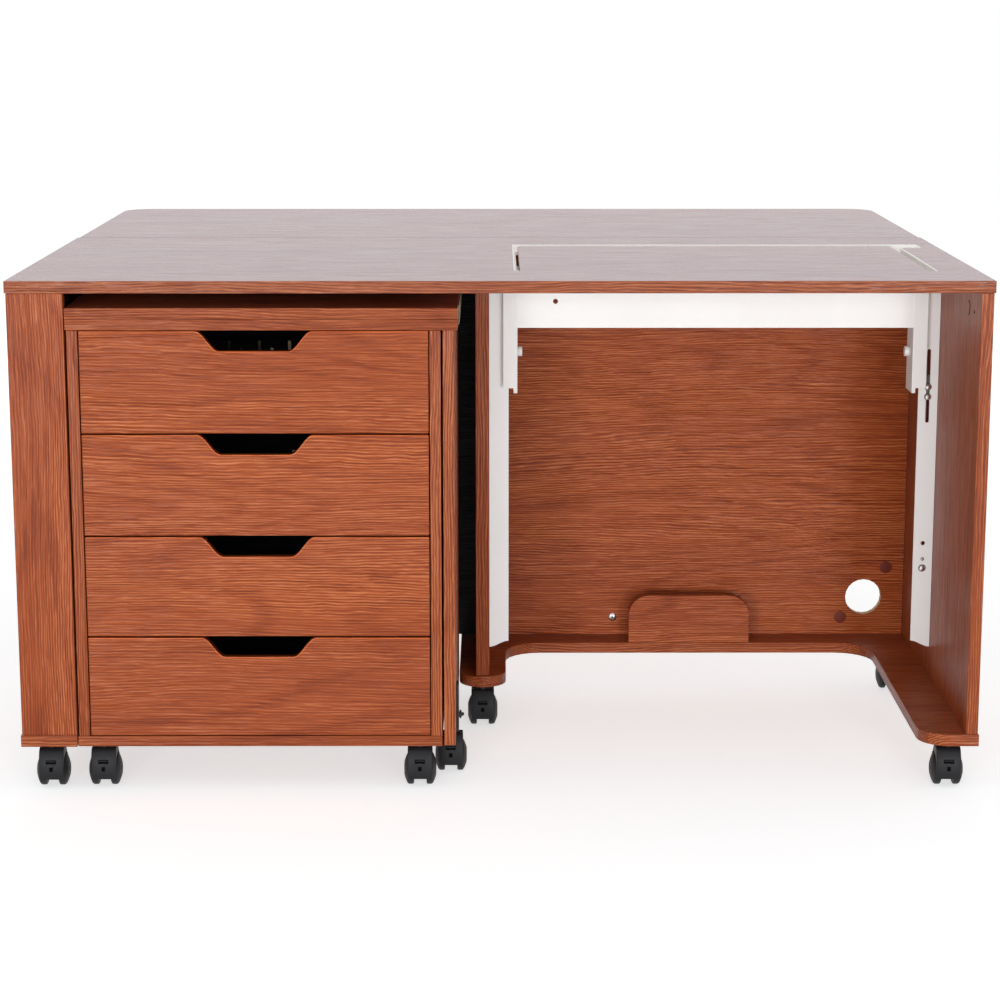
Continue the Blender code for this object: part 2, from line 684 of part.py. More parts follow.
def make_stay(name, middle, hinge, steel):
    """A folding stay: arm under the leaf, strut beside its rib, and a channel on the back panel."""
    axis, upper, foot = stay_points()
    rib = (middle - STAY_RIB / 2, middle + STAY_RIB / 2)
    strut_left = rib[1] + SLIDE_GAP
    strut_right = strut_left + STAY_STRUT
    ear = (rib[0] - SLIDE_GAP - STAY_RIB, rib[0] - SLIDE_GAP)
    plate_top = UNDERSIDE - SEAM
    plate_low = plate_top - STAY_SHEET
    plate_front = y_at(TOP_DEPTH + LEAF_SEAM)
    arm_end = axis[0] + STAY_ARM_LENGTH
    low = (middle - STAY_WIDTH / 2, plate_front, plate_low)
    arm = piece("stay_arm_" + name, block(low, (middle + STAY_WIDTH / 2, arm_end, plate_top)), steel, hinge)
    rib_top = plate_top - WELD_STEP
    rib_outline = arc(axis, STAY_RIB_DROP, 90, 270, 2 * ARC_STEPS)
    rib_outline += [(arm_end - WELD_STEP, axis[1] - STAY_RIB_DROP), (arm_end - WELD_STEP, rib_top)]
    rib_outline += [(plate_front + WELD_STEP, rib_top), (plate_front + WELD_STEP, axis[1] + STAY_RIB_DROP)]
    strut_pin = rod((rib[0] + WELD_STEP, *upper), (strut_right, *upper), STAY_PIN / 2)
    hinge_hole = rod((rib[0] - STAY_RIB, *axis), (rib[1] + STAY_RIB, *axis), STAY_PIN / 2 + PIVOT_GAP)
    add_to(arm, prism_x(rib_outline, *rib), strut_pin)
    cut_from(arm, hinge_hole)

    run = math.degrees(math.atan2(upper[1] - foot[1], upper[0] - foot[0]))
    half = STAY_STRUT_WIDTH / 2
    bar = arc(upper, half, run - 90, run + 90) + arc(foot, half, run + 90, run + 270)
    knee = pivot("stay_knee_" + name, (middle, *upper), hinge)
    strut = piece("stay_strut_" + name, prism_x(bar, strut_left, strut_right), steel, knee)
    cut_from(strut, rod((rib[0], *upper), (strut_right + STAY_RIB, *upper), STAY_PIN / 2 + PIVOT_GAP))

    wall = y_at(BACK_REAR) + SEAM
    channel_left = strut_left - STAY_CHANNEL_GAP
    channel_right = strut_right + STAY_CHANNEL_GAP
    length = math.dist(upper, foot)
    rail_low = axis[1] - STAY_ARM_PIVOT - length - STAY_RAIL_END
    section = [
        (ear[0], wall), (channel_right + STAY_SHEET, wall), (channel_right + STAY_SHEET, wall + STAY_CHANNEL),
        (channel_right, wall + STAY_CHANNEL), (channel_right, wall + STAY_SHEET),
        (channel_left, wall + STAY_SHEET),
        (channel_left, wall + STAY_CHANNEL), (channel_left - STAY_SHEET, wall + STAY_CHANNEL),
        (channel_left - STAY_SHEET, wall + STAY_SHEET), (ear[0], wall + STAY_SHEET),
    ]
    rail = piece("stay_rail_" + name, prism_z(section, rail_low, plate_low), steel)
    ear_outline = arc(axis, STAY_RIB_DROP, -90, 90, 2 * ARC_STEPS)
    ear_outline += [(wall + WELD_STEP, axis[1] + STAY_RIB_DROP), (wall + WELD_STEP, axis[1] - STAY_RIB_DROP)]
    hinge_pin = rod((ear[0] + WELD_STEP, *axis), (rib[1], *axis), STAY_PIN / 2)
    add_to(rail, prism_x(ear_outline, ear[0] - WELD_STEP, ear[1]), hinge_pin)


# Casters


def hood_mesh(plastic):
    """A caster's hood and stem, with the swivel axis on Z and its top at zero."""
    axle = (TRAIL, WHEEL_RADIUS - CASTER_HEIGHT)
    inner = WHEEL_RADIUS + HOOD_GAP
    outer = inner + HOOD_SHELL
    steps = 2 * ARC_STEPS
    brow_deep = outer - TRAIL - HOOD_FLAT_FRONT
    brow_high = -HOOD_TOP - axle[1]
    turns = [math.pi / 2 * k / steps for k in range(steps + 1)]
    shell = arc(axle, outer, HOOD_REAR_ANGLE, HOOD_CROWN_REAR) + [(HOOD_FLAT_REAR, -HOOD_TOP)]
    shell += [(-HOOD_FLAT_FRONT - brow_deep * math.sin(t), axle[1] + brow_high * math.cos(t)) for t in turns]
    shell += arc(axle, outer, 180, HOOD_FRONT_ANGLE)[1:]
    shell += arc(axle, inner, HOOD_FRONT_ANGLE, HOOD_REAR_ANGLE, steps)
    hood = piece("hood", prism_x(shell, -HOOD_HALF, HOOD_HALF), plastic)
    web_half = WHEEL_INNER - SLIDE_GAP
    web_ends = (HOOD_REAR_ANGLE + WEB_INSET, HOOD_FRONT_ANGLE - WEB_INSET)
    web = [axle] + arc(axle, outer - 2 * WELD_STEP, *web_ends, steps)
    hub = rod((-web_half - WELD_STEP, *axle), (web_half + WELD_STEP / 2, *axle), HUB)
    stem = rod((0, 0, -HOOD_TOP - HOOD_SHELL), (0, 0, -SEAM), STEM / 2)
    add_to(hood, prism_x(web, -web_half, web_half), hub, stem)
    cut_from(hood, rod((-HOOD_HALF, *axle), (HOOD_HALF, *axle), AXLE / 2 + PIVOT_GAP))
    return baked_mesh(hood)


def wheel_mesh(plastic):
    """Two domed wheels on one axle, turned round X."""
    inner = WHEEL_INNER + SLIDE_GAP
    half = [
        (inner, AXLE / 2), (inner, WHEEL_RADIUS - WHEEL_CHAMFER), (inner + WHEEL_CHAMFER, WHEEL_RADIUS),
        (WHEEL_TREAD - WHEEL_SHOULDER, WHEEL_RADIUS), (WHEEL_TREAD, WHEEL_RADIUS - WHEEL_SHOULDER),
        ((WHEEL_TREAD + WHEEL_OUTER) / 2, (WHEEL_RADIUS + WHEEL_HUB) / 2),
        (WHEEL_OUTER, WHEEL_HUB), (WHEEL_OUTER, 0),
    ]
    profile = [(-x, r) for x, r in reversed(half)] + half
    wheel = piece("wheel", turned_on_x(profile), plastic)
    wheel.data.shade_smooth()
    wheel.data.set_sharp_from_angle(angle=math.radians(35))
    return baked_mesh(wheel)


def make_caster(name, x, back, hood, wheel, parent=None):
    swivel = pivot(name + "_swivel", (x, y_at(back), CASTER_HEIGHT), parent)
    link(name + "_hood", hood, swivel, world_of(swivel))
    axle = world_of(swivel) + Vector((0, TRAIL, WHEEL_RADIUS - CASTER_HEIGHT))
    link(name + "_wheels", wheel, swivel, axle)


def make_cabinet_casters(hood, wheel):
    rear = BACK_REAR + BASE_LIP - CASTER_REAR
    middle = (DIVIDER_LEFT + DIVIDER_RIGHT) / 2
    make_caster("front_left_caster", CASTER_SIDE - HALF, CASTER_FRONT, hood, wheel)
    make_caster("front_right_caster", HALF - CASTER_SIDE, CASTER_FRONT, hood, wheel)
    make_caster("middle_caster", middle, MIDDLE_FOOT_TIP + MIDDLE_CASTER, hood, wheel)
    make_caster("rear_left_caster", CASTER_SIDE - HALF, rear, hood, wheel)
    make_caster("rear_right_caster", HALF - REAR_CASTER_SIDE, rear, hood, wheel)


# Drawer caddy


def caddy_heights():
    """Z of the caddy's base top, the underside of its top and the flip leaf's underside."""
    flip_low = UNDERSIDE - CADDY_CLEARANCE - CADDY_BOARD
    return CASTER_HEIGHT + CADDY_BOARD, flip_low - SEAM - CADDY_BOARD, flip_low


def drawer_bays():
    """The lowest Z of each drawer front, from the top drawer down, and the height of a front."""
    base_top, under_top, _ = caddy_heights()
    pitch = (under_top - base_top) / DRAWERS
    return [base_top + pitch * k + DRAWER_GAP / 2 for k in reversed(range(DRAWERS))], pitch - DRAWER_GAP


def make_caddy_case(caddy, wood):
    base_top, under_top, flip_low = caddy_heights()
    front = y_at(CADDY_FRONT)
    rear = front + CADDY_DEPTH
    lip = CADDY_LEFT - CADDY_LIP
    piece("caddy_base", block((lip, front, CASTER_HEIGHT), (CADDY_RIGHT, rear, base_top)), wood, caddy)
    low = base_top + SEAM
    high = under_top - SEAM
    inner_left = CADDY_LEFT + CADDY_BOARD
    inner_right = CADDY_RIGHT - CADDY_BOARD
    back = block((inner_left + SEAM, rear - CADDY_BOARD, low), (inner_right - SEAM, rear, high))
    piece("caddy_back", back, wood, caddy)
    sides = (("left", CADDY_LEFT, inner_left, 1), ("right", inner_right, CADDY_RIGHT, -1))
    for name, left, right, inward in sides:
        side = piece("caddy_" + name + "_side", block((left, front, low), (right, rear, high)), wood, caddy)
        face = right if inward > 0 else left
        for bottom in drawer_bays()[0]:
            runner_left, runner_right = sorted((face - inward * SHEET, face + inward * RUNNER_WIDTH))
            runner_low = (runner_left, front + RUNNER_FRONT, bottom)
            runner_rear = rear - CADDY_BOARD - RUNNER_HEIGHT
            add_to(side, block(runner_low, (runner_right, runner_rear, bottom + RUNNER_HEIGHT)))
    top = block((lip, front, under_top), (CADDY_TOP_RIGHT, rear, flip_low - SEAM))
    piece("caddy_top", top, wood, caddy)
    flip_high = flip_low + CADDY_BOARD
    flip_board = block((lip, front, flip_low), (CADDY_TOP_RIGHT, rear, flip_high))
    flip = piece("caddy_flip_leaf", flip_board, wood, caddy)
    hinge_left = CADDY_TOP_RIGHT + SEAM
    hinge_mid = (front + rear) / 2
    plate = [
        (CADDY_TOP_RIGHT - SHEET, flip_low + SHEET), (CADDY_TOP_RIGHT - SHEET, flip_high - SHEET),
        (hinge_left + FLIP_HINGE_PLATE, flip_high - SHEET),
        (hinge_left + FLIP_HINGE_PLATE, under_top + SHEET),
        (hinge_left, under_top + SHEET), (hinge_left, flip_low + SHEET),
    ]
    add_to(flip, prism_y(plate, hinge_mid - FLIP_HINGE_LENGTH / 2, hinge_mid + FLIP_HINGE_LENGTH / 2))


def make_gate(caddy, wood):
    """The leg that swings out under the opened flip leaf, with its hinge plate on the caddy's side."""
    _, under_top, _ = caddy_heights()
    front = y_at(CADDY_FRONT + GATE_SETBACK)
    rear = front + GATE_DEPTH
    high = under_top - SEAM
    gate = piece("gate_leg", block((GATE_LEFT, front, CASTER_HEIGHT), (GATE_RIGHT, rear, high)), wood, caddy)
    middle = (CASTER_HEIGHT + high) / 2
    reach = (high - CASTER_HEIGHT) / 2 - GATE_HINGE_LEAF
    low = (CADDY_RIGHT + SEAM, rear - GATE_HINGE_LEAF, middle - reach)
    add_to(gate, block(low, (GATE_LEFT + SHEET, rear - SHEET, middle + reach)))


def pull_outline(left, right, low, high):
    """A drawer front with its finger cut-out at the top, as X and Z points."""
    middle = (left + right) / 2
    steps = 2 * ARC_STEPS
    slope = [k / steps for k in range(steps + 1)]
    span = (PULL_WIDTH - PULL_FLOOR) / 2
    fall = [(PULL_WIDTH / 2 - span * t, high - PULL_DEPTH * (1 - math.cos(math.pi * t)) / 2) for t in slope]
    outline = [(left, low), (right, low), (right, high)]
    outline += [(middle + x, z) for x, z in fall]
    outline += [(middle - x, z) for x, z in reversed(fall)]
    return outline + [(left, high)]


def make_drawers(caddy, wood, black):
    front = y_at(CADDY_FRONT)
    left = CADDY_LEFT + CADDY_BOARD
    right = CADDY_RIGHT - CADDY_BOARD
    bottoms, height = drawer_bays()
    box_front = front + CADDY_BOARD + SEAM
    box_rear = box_front + DRAWER_BOX_DEPTH
    for number, bottom in enumerate(bottoms, 1):
        slide = pivot(f"drawer_{number}", ((left + right) / 2, front, bottom), caddy)
        outline = pull_outline(left + DRAWER_SIDE_GAP, right - DRAWER_SIDE_GAP, bottom, bottom + height)
        piece(f"drawer_{number}_front", prism_y(outline, front, front + CADDY_BOARD), wood, slide)
        low = bottom + RUNNER_HEIGHT + SEAM
        high = low + DRAWER_BOX_HEIGHT
        box_left = left + DRAWER_BOX_SIDE_GAP
        box_right = right - DRAWER_BOX_SIDE_GAP
        outside = block((box_left, box_front, low), (box_right, box_rear, high))
        tray = piece(f"drawer_{number}_box", outside, black, slide)
        hollow_low = (box_left + DRAWER_BOX_WALL, box_front + DRAWER_BOX_WALL, low + DRAWER_BOX_FLOOR)
        hollow_high = (box_right - DRAWER_BOX_WALL, box_rear - DRAWER_BOX_WALL, high + DRAWER_BOX_WALL)
        cut_from(tray, block(hollow_low, hollow_high))


def make_caddy(wood, black, hood, wheel):
    caddy = pivot("caddy", ((CADDY_LEFT + CADDY_RIGHT) / 2, y_at(CADDY_FRONT), CASTER_HEIGHT))
    make_caddy_case(caddy, wood)
    make_gate(caddy, wood)
    make_drawers(caddy, wood, black)
    left = CADDY_LEFT + CADDY_CASTER_SIDE
    right = CADDY_RIGHT - CADDY_CASTER_SIDE
    front = CADDY_FRONT + CADDY_CASTER_FRONT
    rear = CADDY_FRONT + CADDY_DEPTH - CADDY_CASTER_REAR
    make_caster("caddy_front_left_caster", left, front, hood, wheel, caddy)
    make_caster("caddy_front_right_caster", right, front, hood, wheel, caddy)
    make_caster("caddy_rear_left_caster", left, rear, hood, wheel, caddy)
    make_caster("caddy_rear_right_caster", right, rear, hood, wheel, caddy)
    make_caster("gate_caster", (GATE_LEFT + GATE_RIGHT) / 2, front + GATE_CASTER_BACK, hood, wheel, caddy)


def main():
    clear_scene()
    wood = finish("teak_laminate", (0.40, 0.125, 0.05), 0.4)
    black = finish("black_laminate", (0.02, 0.018, 0.017), 0.5)
    paint = finish("white_paint", (0.82, 0.79, 0.77), 0.45)
    plastic = finish("white_plastic", (0.85, 0.84, 0.82), 0.5)
    steel = finish("black_steel", (0.03, 0.03, 0.032), 0.4, 0.6)
    chrome = finish("bright_steel", (0.6, 0.6, 0.6), 0.25, 1.0)
    charcoal = finish("caster_plastic", (0.03, 0.03, 0.033), 0.5)
    make_worktop(wood)
    make_trim(plastic)
    make_panels(wood)
    make_base(wood)
    make_lift(wood, paint, plastic, steel, chrome)
    hinge = pivot("leaf_hinge", (0, y_at(HINGE_BACK), HINGE_HEIGHT))
    make_leaf(wood, hinge)
    make_stay("left", -STAY_SIDE, hinge, steel)
    make_stay("right", STAY_SIDE, hinge, steel)
    hood = hood_mesh(charcoal)
    wheel = wheel_mesh(charcoal)
    make_cabinet_casters(hood, wheel)
    make_caddy(wood, black, hood, wheel)


if __name__ == "__main__":
    main()
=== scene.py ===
"""Dressed model of a fold-away sewing cabinet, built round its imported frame.

Metres, +Z up. The origin is on the floor under the middle of the opened table, +X runs to the
sitter's right and +Y to the back.
"""

import logging
import math
from collections.abc import Callable, Sequence
from dataclasses import dataclass, field, replace
from enum import Enum
from functools import cached_property, lru_cache

import bmesh
import bpy
from mathutils import Matrix, Vector


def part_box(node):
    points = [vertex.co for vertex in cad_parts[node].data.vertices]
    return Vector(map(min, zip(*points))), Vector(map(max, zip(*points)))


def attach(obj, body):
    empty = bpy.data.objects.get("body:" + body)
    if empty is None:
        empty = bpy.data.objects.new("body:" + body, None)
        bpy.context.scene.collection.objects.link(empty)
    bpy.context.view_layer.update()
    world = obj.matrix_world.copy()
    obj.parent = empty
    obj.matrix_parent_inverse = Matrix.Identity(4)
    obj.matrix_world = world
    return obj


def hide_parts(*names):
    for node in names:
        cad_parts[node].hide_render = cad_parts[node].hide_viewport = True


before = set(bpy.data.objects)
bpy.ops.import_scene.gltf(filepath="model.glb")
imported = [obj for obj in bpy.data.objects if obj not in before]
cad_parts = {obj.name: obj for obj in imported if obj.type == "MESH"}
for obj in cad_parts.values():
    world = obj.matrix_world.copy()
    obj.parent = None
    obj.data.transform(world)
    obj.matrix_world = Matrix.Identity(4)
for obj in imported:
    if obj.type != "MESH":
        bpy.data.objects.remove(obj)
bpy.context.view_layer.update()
LOG = logging.getLogger("sewing_cabinet")

Colour = tuple[float, float, float]
Point = tuple[float, float, float]
Pair = tuple[float, float]
Box = tuple[Vector, Vector]
Outline = list[Pair]

WHITE = (1.0, 1.0, 1.0)
# Most of a noise's values lie between these two.
MOST = (0.3, 0.7)
# Vertices closer than this are one, in metres.
MERGE = 0.00001
# Angles between faces in degrees: flat below the first, sharp above the second or the third.
FLAT_ANGLE = 1.0
SHARP_ANGLE = 12.0
ROUND_ANGLE = 40.0
# How many sides a rod, a domed head and the rest of what is turned have.
ROD_SIDES = 28
HEAD_SIDES = 24
TURNED_SIDES = 32


class Axis(Enum):
    """A direction that figure, an edge or a rod runs along."""

    X = 0
    Y = 1
    Z = 2

    def unit(self) -> Vector:
        """The vector of length one along the axis."""
        return Vector([float(self.value == k) for k in range(3)])


class Slot(Enum):
    """The record's material slots."""

    WOOD = "teak_laminate"
    BLACK = "black_laminate"
    PAINT = "white_paint"
    PLASTIC = "white_plastic"
    STEEL = "black_steel"
    BRIGHT = "bright_steel"
    CASTER = "caster_plastic"


class Bench:
    """A node material being put together."""

    def __init__(self, name: str) -> None:
        """Start a material with a Principled shader.

        Args:
            name: The material's name.
        """
        self.material = bpy.data.materials.new(name)
        self.material.use_nodes = True
        self.tree = self.material.node_tree
        self.shader = self.tree.nodes["Principled BSDF"]

    def add(self, kind: str, inputs: dict | None = None, **settings: object) -> bpy.types.Node:
        """Add one node.

        Args:
            kind: The node's type, without its ShaderNode prefix.
            inputs: Values or sockets for its inputs, by name or index.
            **settings: Values for the node's own settings.

        Returns:
            The new node.
        """
        node = self.tree.nodes.new("ShaderNode" + kind)
        for name, value in settings.items():
            setattr(node, name, value)
        for name, value in (inputs or {}).items():
            self.feed(node.inputs[name], value)
        return node

    def feed(self, socket: bpy.types.NodeSocket, value: object) -> None:
        """Link a socket to an output, or set its value.

        Args:
            socket: The input to fill.
            value: An output socket, or a plain value.
        """
        if isinstance(value, bpy.types.NodeSocket):
            self.tree.links.new(value, socket)
        else:
            socket.default_value = value

    def math(self, operation: str, first: object, second: object = 0.0) -> bpy.types.NodeSocket:
        """One Math node's result."""
        return self.add("Math", {0: first, 1: second}, operation=operation).outputs[0]

    def vector(self, operation: str, first: object, second: object) -> bpy.types.NodeSocket:
        """One Vector Math node's result."""
        return self.add("VectorMath", {0: first, 1: second}, operation=operation).outputs[0]

    def noise(
        self, place: object, scale: float, detail: float, roughness: float = 0.5
    ) -> bpy.types.Node:
        """A Noise texture.

        Args:
            place: The coordinates it is read at.
            scale: Its scale.
            detail: How many finer layers it has.
            roughness: How strong the finer layers are.

        Returns:
            The texture node.
        """
        inputs = {"Vector": place, "Scale": scale, "Detail": detail, "Roughness": roughness}
        return self.add("TexNoise", inputs)

    def spread(self, value: object, window: Pair, to: Pair) -> bpy.types.NodeSocket:
        """A value brought from one range to another, and kept inside it.

        Args:
            value: The socket to read.
            window: The values that become the ends of the new range.
            to: The new range.

        Returns:
            The new value's socket.
        """
        names = ("From Min", "From Max", "To Min", "To Max")
        inputs = {"Value": value, **dict(zip(names, (*window, *to)))}
        return self.add("MapRange", inputs).outputs["Result"]

    def ramp(self, value: object, stops: Sequence[tuple[float, Colour]]) -> bpy.types.NodeSocket:
        """A colour read from a ramp.

        Args:
            value: The socket that is looked up.
            stops: Each stop's place and colour.

        Returns:
            The colour's socket.
        """
        node = self.add("ValToRGB", {"Fac": value})
        elements = node.color_ramp.elements
        while len(elements) < len(stops):
            elements.new(1.0)
        for element, (place, colour) in zip(elements, stops):
            element.position = place
            element.color = (*colour, 1.0)
        return node.outputs["Color"]

    def bump(self, height: object, distance: float, strength: float) -> None:
        """Roughen the shader's normal by a height, with its depth in metres."""
        node = self.add("Bump", {"Height": height, "Distance": distance, "Strength": strength})
        self.feed(self.shader.inputs["Normal"], node.outputs["Normal"])

    def dress(self, inputs: dict[str, object]) -> None:
        """Fill the shader's inputs, by name."""
        for name, value in inputs.items():
            self.feed(self.shader.inputs[name], value)


@dataclass(frozen=True)
class Layer:
    """One noise in printed wood figure.

    Attributes:
        along: Its scale along the figure.
        across: Its scale across the figure.
        detail: How many finer layers it has.
        roughness: How strong the finer layers are.
        window: The stretch of its values that counts.
        tone: What the window's two ends add to the tone.
        reach: How far it pushes the layers above it about, in metres.
    """

    along: float
    across: float
    detail: float = 1.0
    roughness: float = 0.5
    window: Pair = MOST
    tone: Pair = (0.0, 0.0)
    reach: float = 0.0


SWAY = Layer(1.1, 4.5, 2.0, reach=0.05)
TREMOR = Layer(20.0, 45.0, 2.0, reach=0.0035)
RING = Layer(0.9, 6.0, roughness=0.4)
BAND = Layer(0.8, 9.0, 2.0, tone=(0.08, 0.23))
STREAK = Layer(4.0, 60.0, 3.0, 0.6, tone=(0.20, 0.25))
RIDGE = Layer(7.0, 430.0, window=(0.41, 0.59), tone=(0.08, 0.24))
PORE = Layer(40.0, 700.0, tone=(0.0, 0.06))
HUE = Layer(0.7, 7.0, window=(0.36, 0.62))


@dataclass
class Figure:
    """Printed figure on a wood's material, laid along one axis."""

    bench: Bench
    axis: Axis
    rings: float = 15.0
    ring_width: float = 0.2
    ring_tone: float = 0.10
    comb_scale: float = 1440.0
    comb_drift: float = 14.0
    comb_bands: tuple[Pair, Pair] = ((0.35, 0.6), (0.4, 1.0))
    comb_breaks: tuple[Pair, Pair] = ((0.35, 0.65), (0.3, 1.7))
    comb_tone: float = 0.22
    comb_height: float = 0.16
    pore_height: float = 0.3

    def __post_init__(self) -> None:
        """Bend the coordinates and lay the layers on them."""
        place = self.bench.add("TexCoord").outputs["Object"]
        self.bent = self.wandering(self.wandering(place, SWAY), TREMOR)
        self.band = self.laid(self.bent, BAND).outputs["Fac"]
        self.streak = self.laid(self.bent, STREAK).outputs["Fac"]
        self.ridge = self.laid(self.bent, RIDGE).outputs["Fac"]
        self.pore = self.laid(self.bent, PORE).outputs["Fac"]
        self.comb = self.combed()

    def stretched(self, place: object, along: float, across: float) -> bpy.types.NodeSocket:
        """Coordinates with their own scale along and across the figure.

        Args:
            place: The coordinates.
            along: The scale along the figure.
            across: The scale across it.

        Returns:
            The new coordinates' socket.
        """
        scale = [across] * 3
        scale[self.axis.value] = along
        return self.bench.vector("MULTIPLY", place, scale)

    def laid(self, place: object, layer: Layer) -> bpy.types.Node:
        """One layer's noise at a place."""
        place = self.stretched(place, layer.along, layer.across)
        return self.bench.noise(place, 1.0, layer.detail, layer.roughness)

    def wandering(self, place: object, layer: Layer) -> bpy.types.NodeSocket:
        """Coordinates pushed about, so that the figure wanders.

        Args:
            place: The coordinates.
            layer: The noise that pushes them.

        Returns:
            The new coordinates' socket.
        """
        drift = self.laid(place, layer).outputs["Color"]
        drift = self.bench.vector("SUBTRACT", drift, (0.5, 0.5, 0.5))
        drift = self.bench.vector("MULTIPLY", drift, [layer.reach] * 3)
        return self.bench.vector("ADD", place, drift)

    def combed(self) -> bpy.types.NodeSocket:
        """Fine lines side by side, fainter between the bands and broken by the pores.

        Returns:
            The socket of their height, about zero.
        """
        bench = self.bench
        place = self.stretched(self.bent, 0.0, self.comb_scale)
        across = bench.add("VectorMath", {0: place, 1: (1.0, 1.0, 1.0)}, operation="DOT_PRODUCT")
        drift = bench.math("MULTIPLY", self.streak, self.comb_drift)
        line = bench.math("SINE", bench.math("ADD", across.outputs["Value"], drift))
        line = bench.math("MULTIPLY", line, bench.spread(self.band, *self.comb_bands))
        return bench.math("MULTIPLY", line, bench.spread(self.pore, *self.comb_breaks))

    def tone(self) -> bpy.types.NodeSocket:
        """How light the figure is at each place.

        Returns:
            The tone's socket.
        """
        bench = self.bench

        def share(value: object, layer: Layer) -> bpy.types.NodeSocket:
            """What one layer adds."""
            return bench.spread(value, layer.window, layer.tone)

        ring = bench.math("MULTIPLY", self.laid(self.bent, RING).outputs["Fac"], self.rings)
        ring = bench.math("PINGPONG", ring, 0.5)
        line = bench.spread(ring, (0.0, self.ring_width), (self.ring_tone, 0.0))
        tone = bench.math("SUBTRACT", share(self.streak, STREAK), line)
        tone = bench.math("ADD", tone, share(self.ridge, RIDGE))
        tone = bench.math("ADD", tone, bench.math("MULTIPLY", self.comb, self.comb_tone))
        tone = bench.math("ADD", tone, share(self.pore, PORE))
        return bench.math("ADD", tone, share(self.band, BAND))

    def height(self) -> bpy.types.NodeSocket:
        """How far the pressed surface stands up at each place.

        Returns:
            The height's socket.
        """
        bench = self.bench
        height = bench.math("ADD", self.ridge, bench.math("MULTIPLY", self.pore, self.pore_height))
        return bench.math("ADD", height, bench.math("MULTIPLY", self.comb, self.comb_height))


@dataclass(frozen=True)
class Wood:
    """Wood-grain laminate: printed figure with pressed pores along it."""

    name: str
    deep: Colour
    dark: Colour
    middle: Colour
    light: Colour
    steps: tuple[float, ...] = (0.16, 0.36, 0.56, 0.86)
    roughness: float = 0.34
    wear: Pair = (0.08, -0.06)
    pore_depth: float = 0.0014
    pore_strength: float = 0.9
    gloss: float = 0.26
    sheen: float = 0.0
    sheen_tint: Colour = (0.75, 0.72, 1.0)
    cool: Colour = (0.95, 0.95, 1.08)

    def retoned(self, name: str, share: float, **changes: float) -> "Wood":
        """The same wood in another tone; the bands take their own tone this way, and the drawer rims
        and pegs take painted highlight and painted shade.

        Args:
            name: The new finish's name.
            share: How much of each colour is kept.
            **changes: Other fields to change.

        Returns:
            The new finish.
        """
        tones = {tone: getattr(self, tone) for tone in ("deep", "dark", "middle", "light")}
        tones = {tone: tuple(c * share for c in colour) for tone, colour in tones.items()}
        return replace(self, name=name, **tones, **changes)

    @lru_cache
    def along(self, axis: Axis) -> bpy.types.Material:
        """The material with its figure along one axis.

        Args:
            axis: The way the figure runs.

        Returns:
            The material.
        """
        bench = Bench(f"{self.name}_along_{axis.name.lower()}")
        figure = Figure(bench, axis)
        stops = list(zip(self.steps, (self.deep, self.dark, self.middle, self.light)))
        hue = figure.laid(figure.bent, HUE).outputs["Fac"]
        tint = bench.ramp(hue, list(zip(HUE.window, (self.cool, WHITE))))
        worn = tuple(self.roughness + change for change in self.wear)
        bench.dress({
            "Base Color": bench.vector("MULTIPLY", bench.ramp(figure.tone(), stops), tint),
            "Specular IOR Level": self.gloss,
            "Sheen Weight": self.sheen,
            "Sheen Tint": (*self.sheen_tint, 1.0),
            "Roughness": bench.spread(figure.ridge, MOST, worn),
        })
        bench.bump(figure.height(), self.pore_depth, self.pore_strength)
        return bench.material


@dataclass(frozen=True)
class Moulded:
    """A coated, moulded or drawn surface with a fine skin."""

    name: str
    colour: Colour
    roughness: float
    metallic: float = 0.0
    gloss: float = 0.5
    cloud: float = 0.06
    cloud_scale: float = 14.0
    skin_scale: float = 900.0
    skin_depth: float = 0.00008
    skin_strength: float = 0.6
    wear: float = 0.05
    # Above zero, a painted glow on a part that is no lamp.
    glow: float = 0.0
    drawn: Axis | None = None
    drawn_scale: float = 0.02

    @lru_cache
    def material(self) -> bpy.types.Material:
        """The material, clouded in colour and worn in gloss.

        Returns:
            The material.
        """
        bench = Bench(self.name)
        place = bench.add("TexCoord").outputs["Object"]
        shade = bench.noise(place, self.cloud_scale, 3.0).outputs["Fac"]
        low = tuple(c * (1.0 - self.cloud) for c in self.colour)
        high = tuple(min(1.0, c * (1.0 + self.cloud)) for c in self.colour)
        if self.drawn is not None:
            scale = [1.0] * 3
            scale[self.drawn.value] = self.drawn_scale
            place = bench.vector("MULTIPLY", place, scale)
        skin = bench.noise(place, self.skin_scale, 2.0).outputs["Fac"]
        worn = (self.roughness - self.wear, self.roughness + self.wear)
        bench.dress({
            "Base Color": bench.ramp(shade, list(zip(MOST, (low, high)))),
            "Metallic": self.metallic,
            "Specular IOR Level": self.gloss,
            # Emission: a painted glow, as strong as glow.
            "Emission Color": (*self.colour, 1.0),
            "Emission Strength": self.glow,
            "Roughness": bench.spread(skin, MOST, worn),
        })
        bench.bump(skin, self.skin_depth, self.skin_strength)
        return bench.material


TEAK = Wood(
    "teak_laminate",
    deep=(0.118, 0.019, 0.004),
    dark=(0.222, 0.039, 0.008),
    middle=(0.330, 0.066, 0.014),
    light=(0.520, 0.158, 0.055),
)
TEAK_TOP = replace(TEAK, name="teak_top", roughness=0.21, pore_depth=0.00003, gloss=0.5, sheen=0.2)
TEAK_EDGE = TEAK.retoned("teak_edge", 0.86, pore_depth=0.0009)
TOP_EDGE = TEAK.retoned("teak_top_edge", 0.78, gloss=0.45, roughness=0.30)
# Painted highlight on the drawer fronts' eased edges, and painted shade inside their cut-outs.
PAINTED_HIGHLIGHT_RIM = TEAK.retoned("teak_painted_highlight", 1.9, gloss=0.4)
PAINTED_SHADE_RIM = TEAK.retoned("teak_shaded", 0.42, gloss=0.1)
BLACK_WOOD = Wood(
    "black_laminate",
    deep=(0.004, 0.004, 0.004),
    dark=(0.008, 0.007, 0.007),
    middle=(0.013, 0.012, 0.012),
    light=(0.026, 0.023, 0.022),
    roughness=0.42,
)
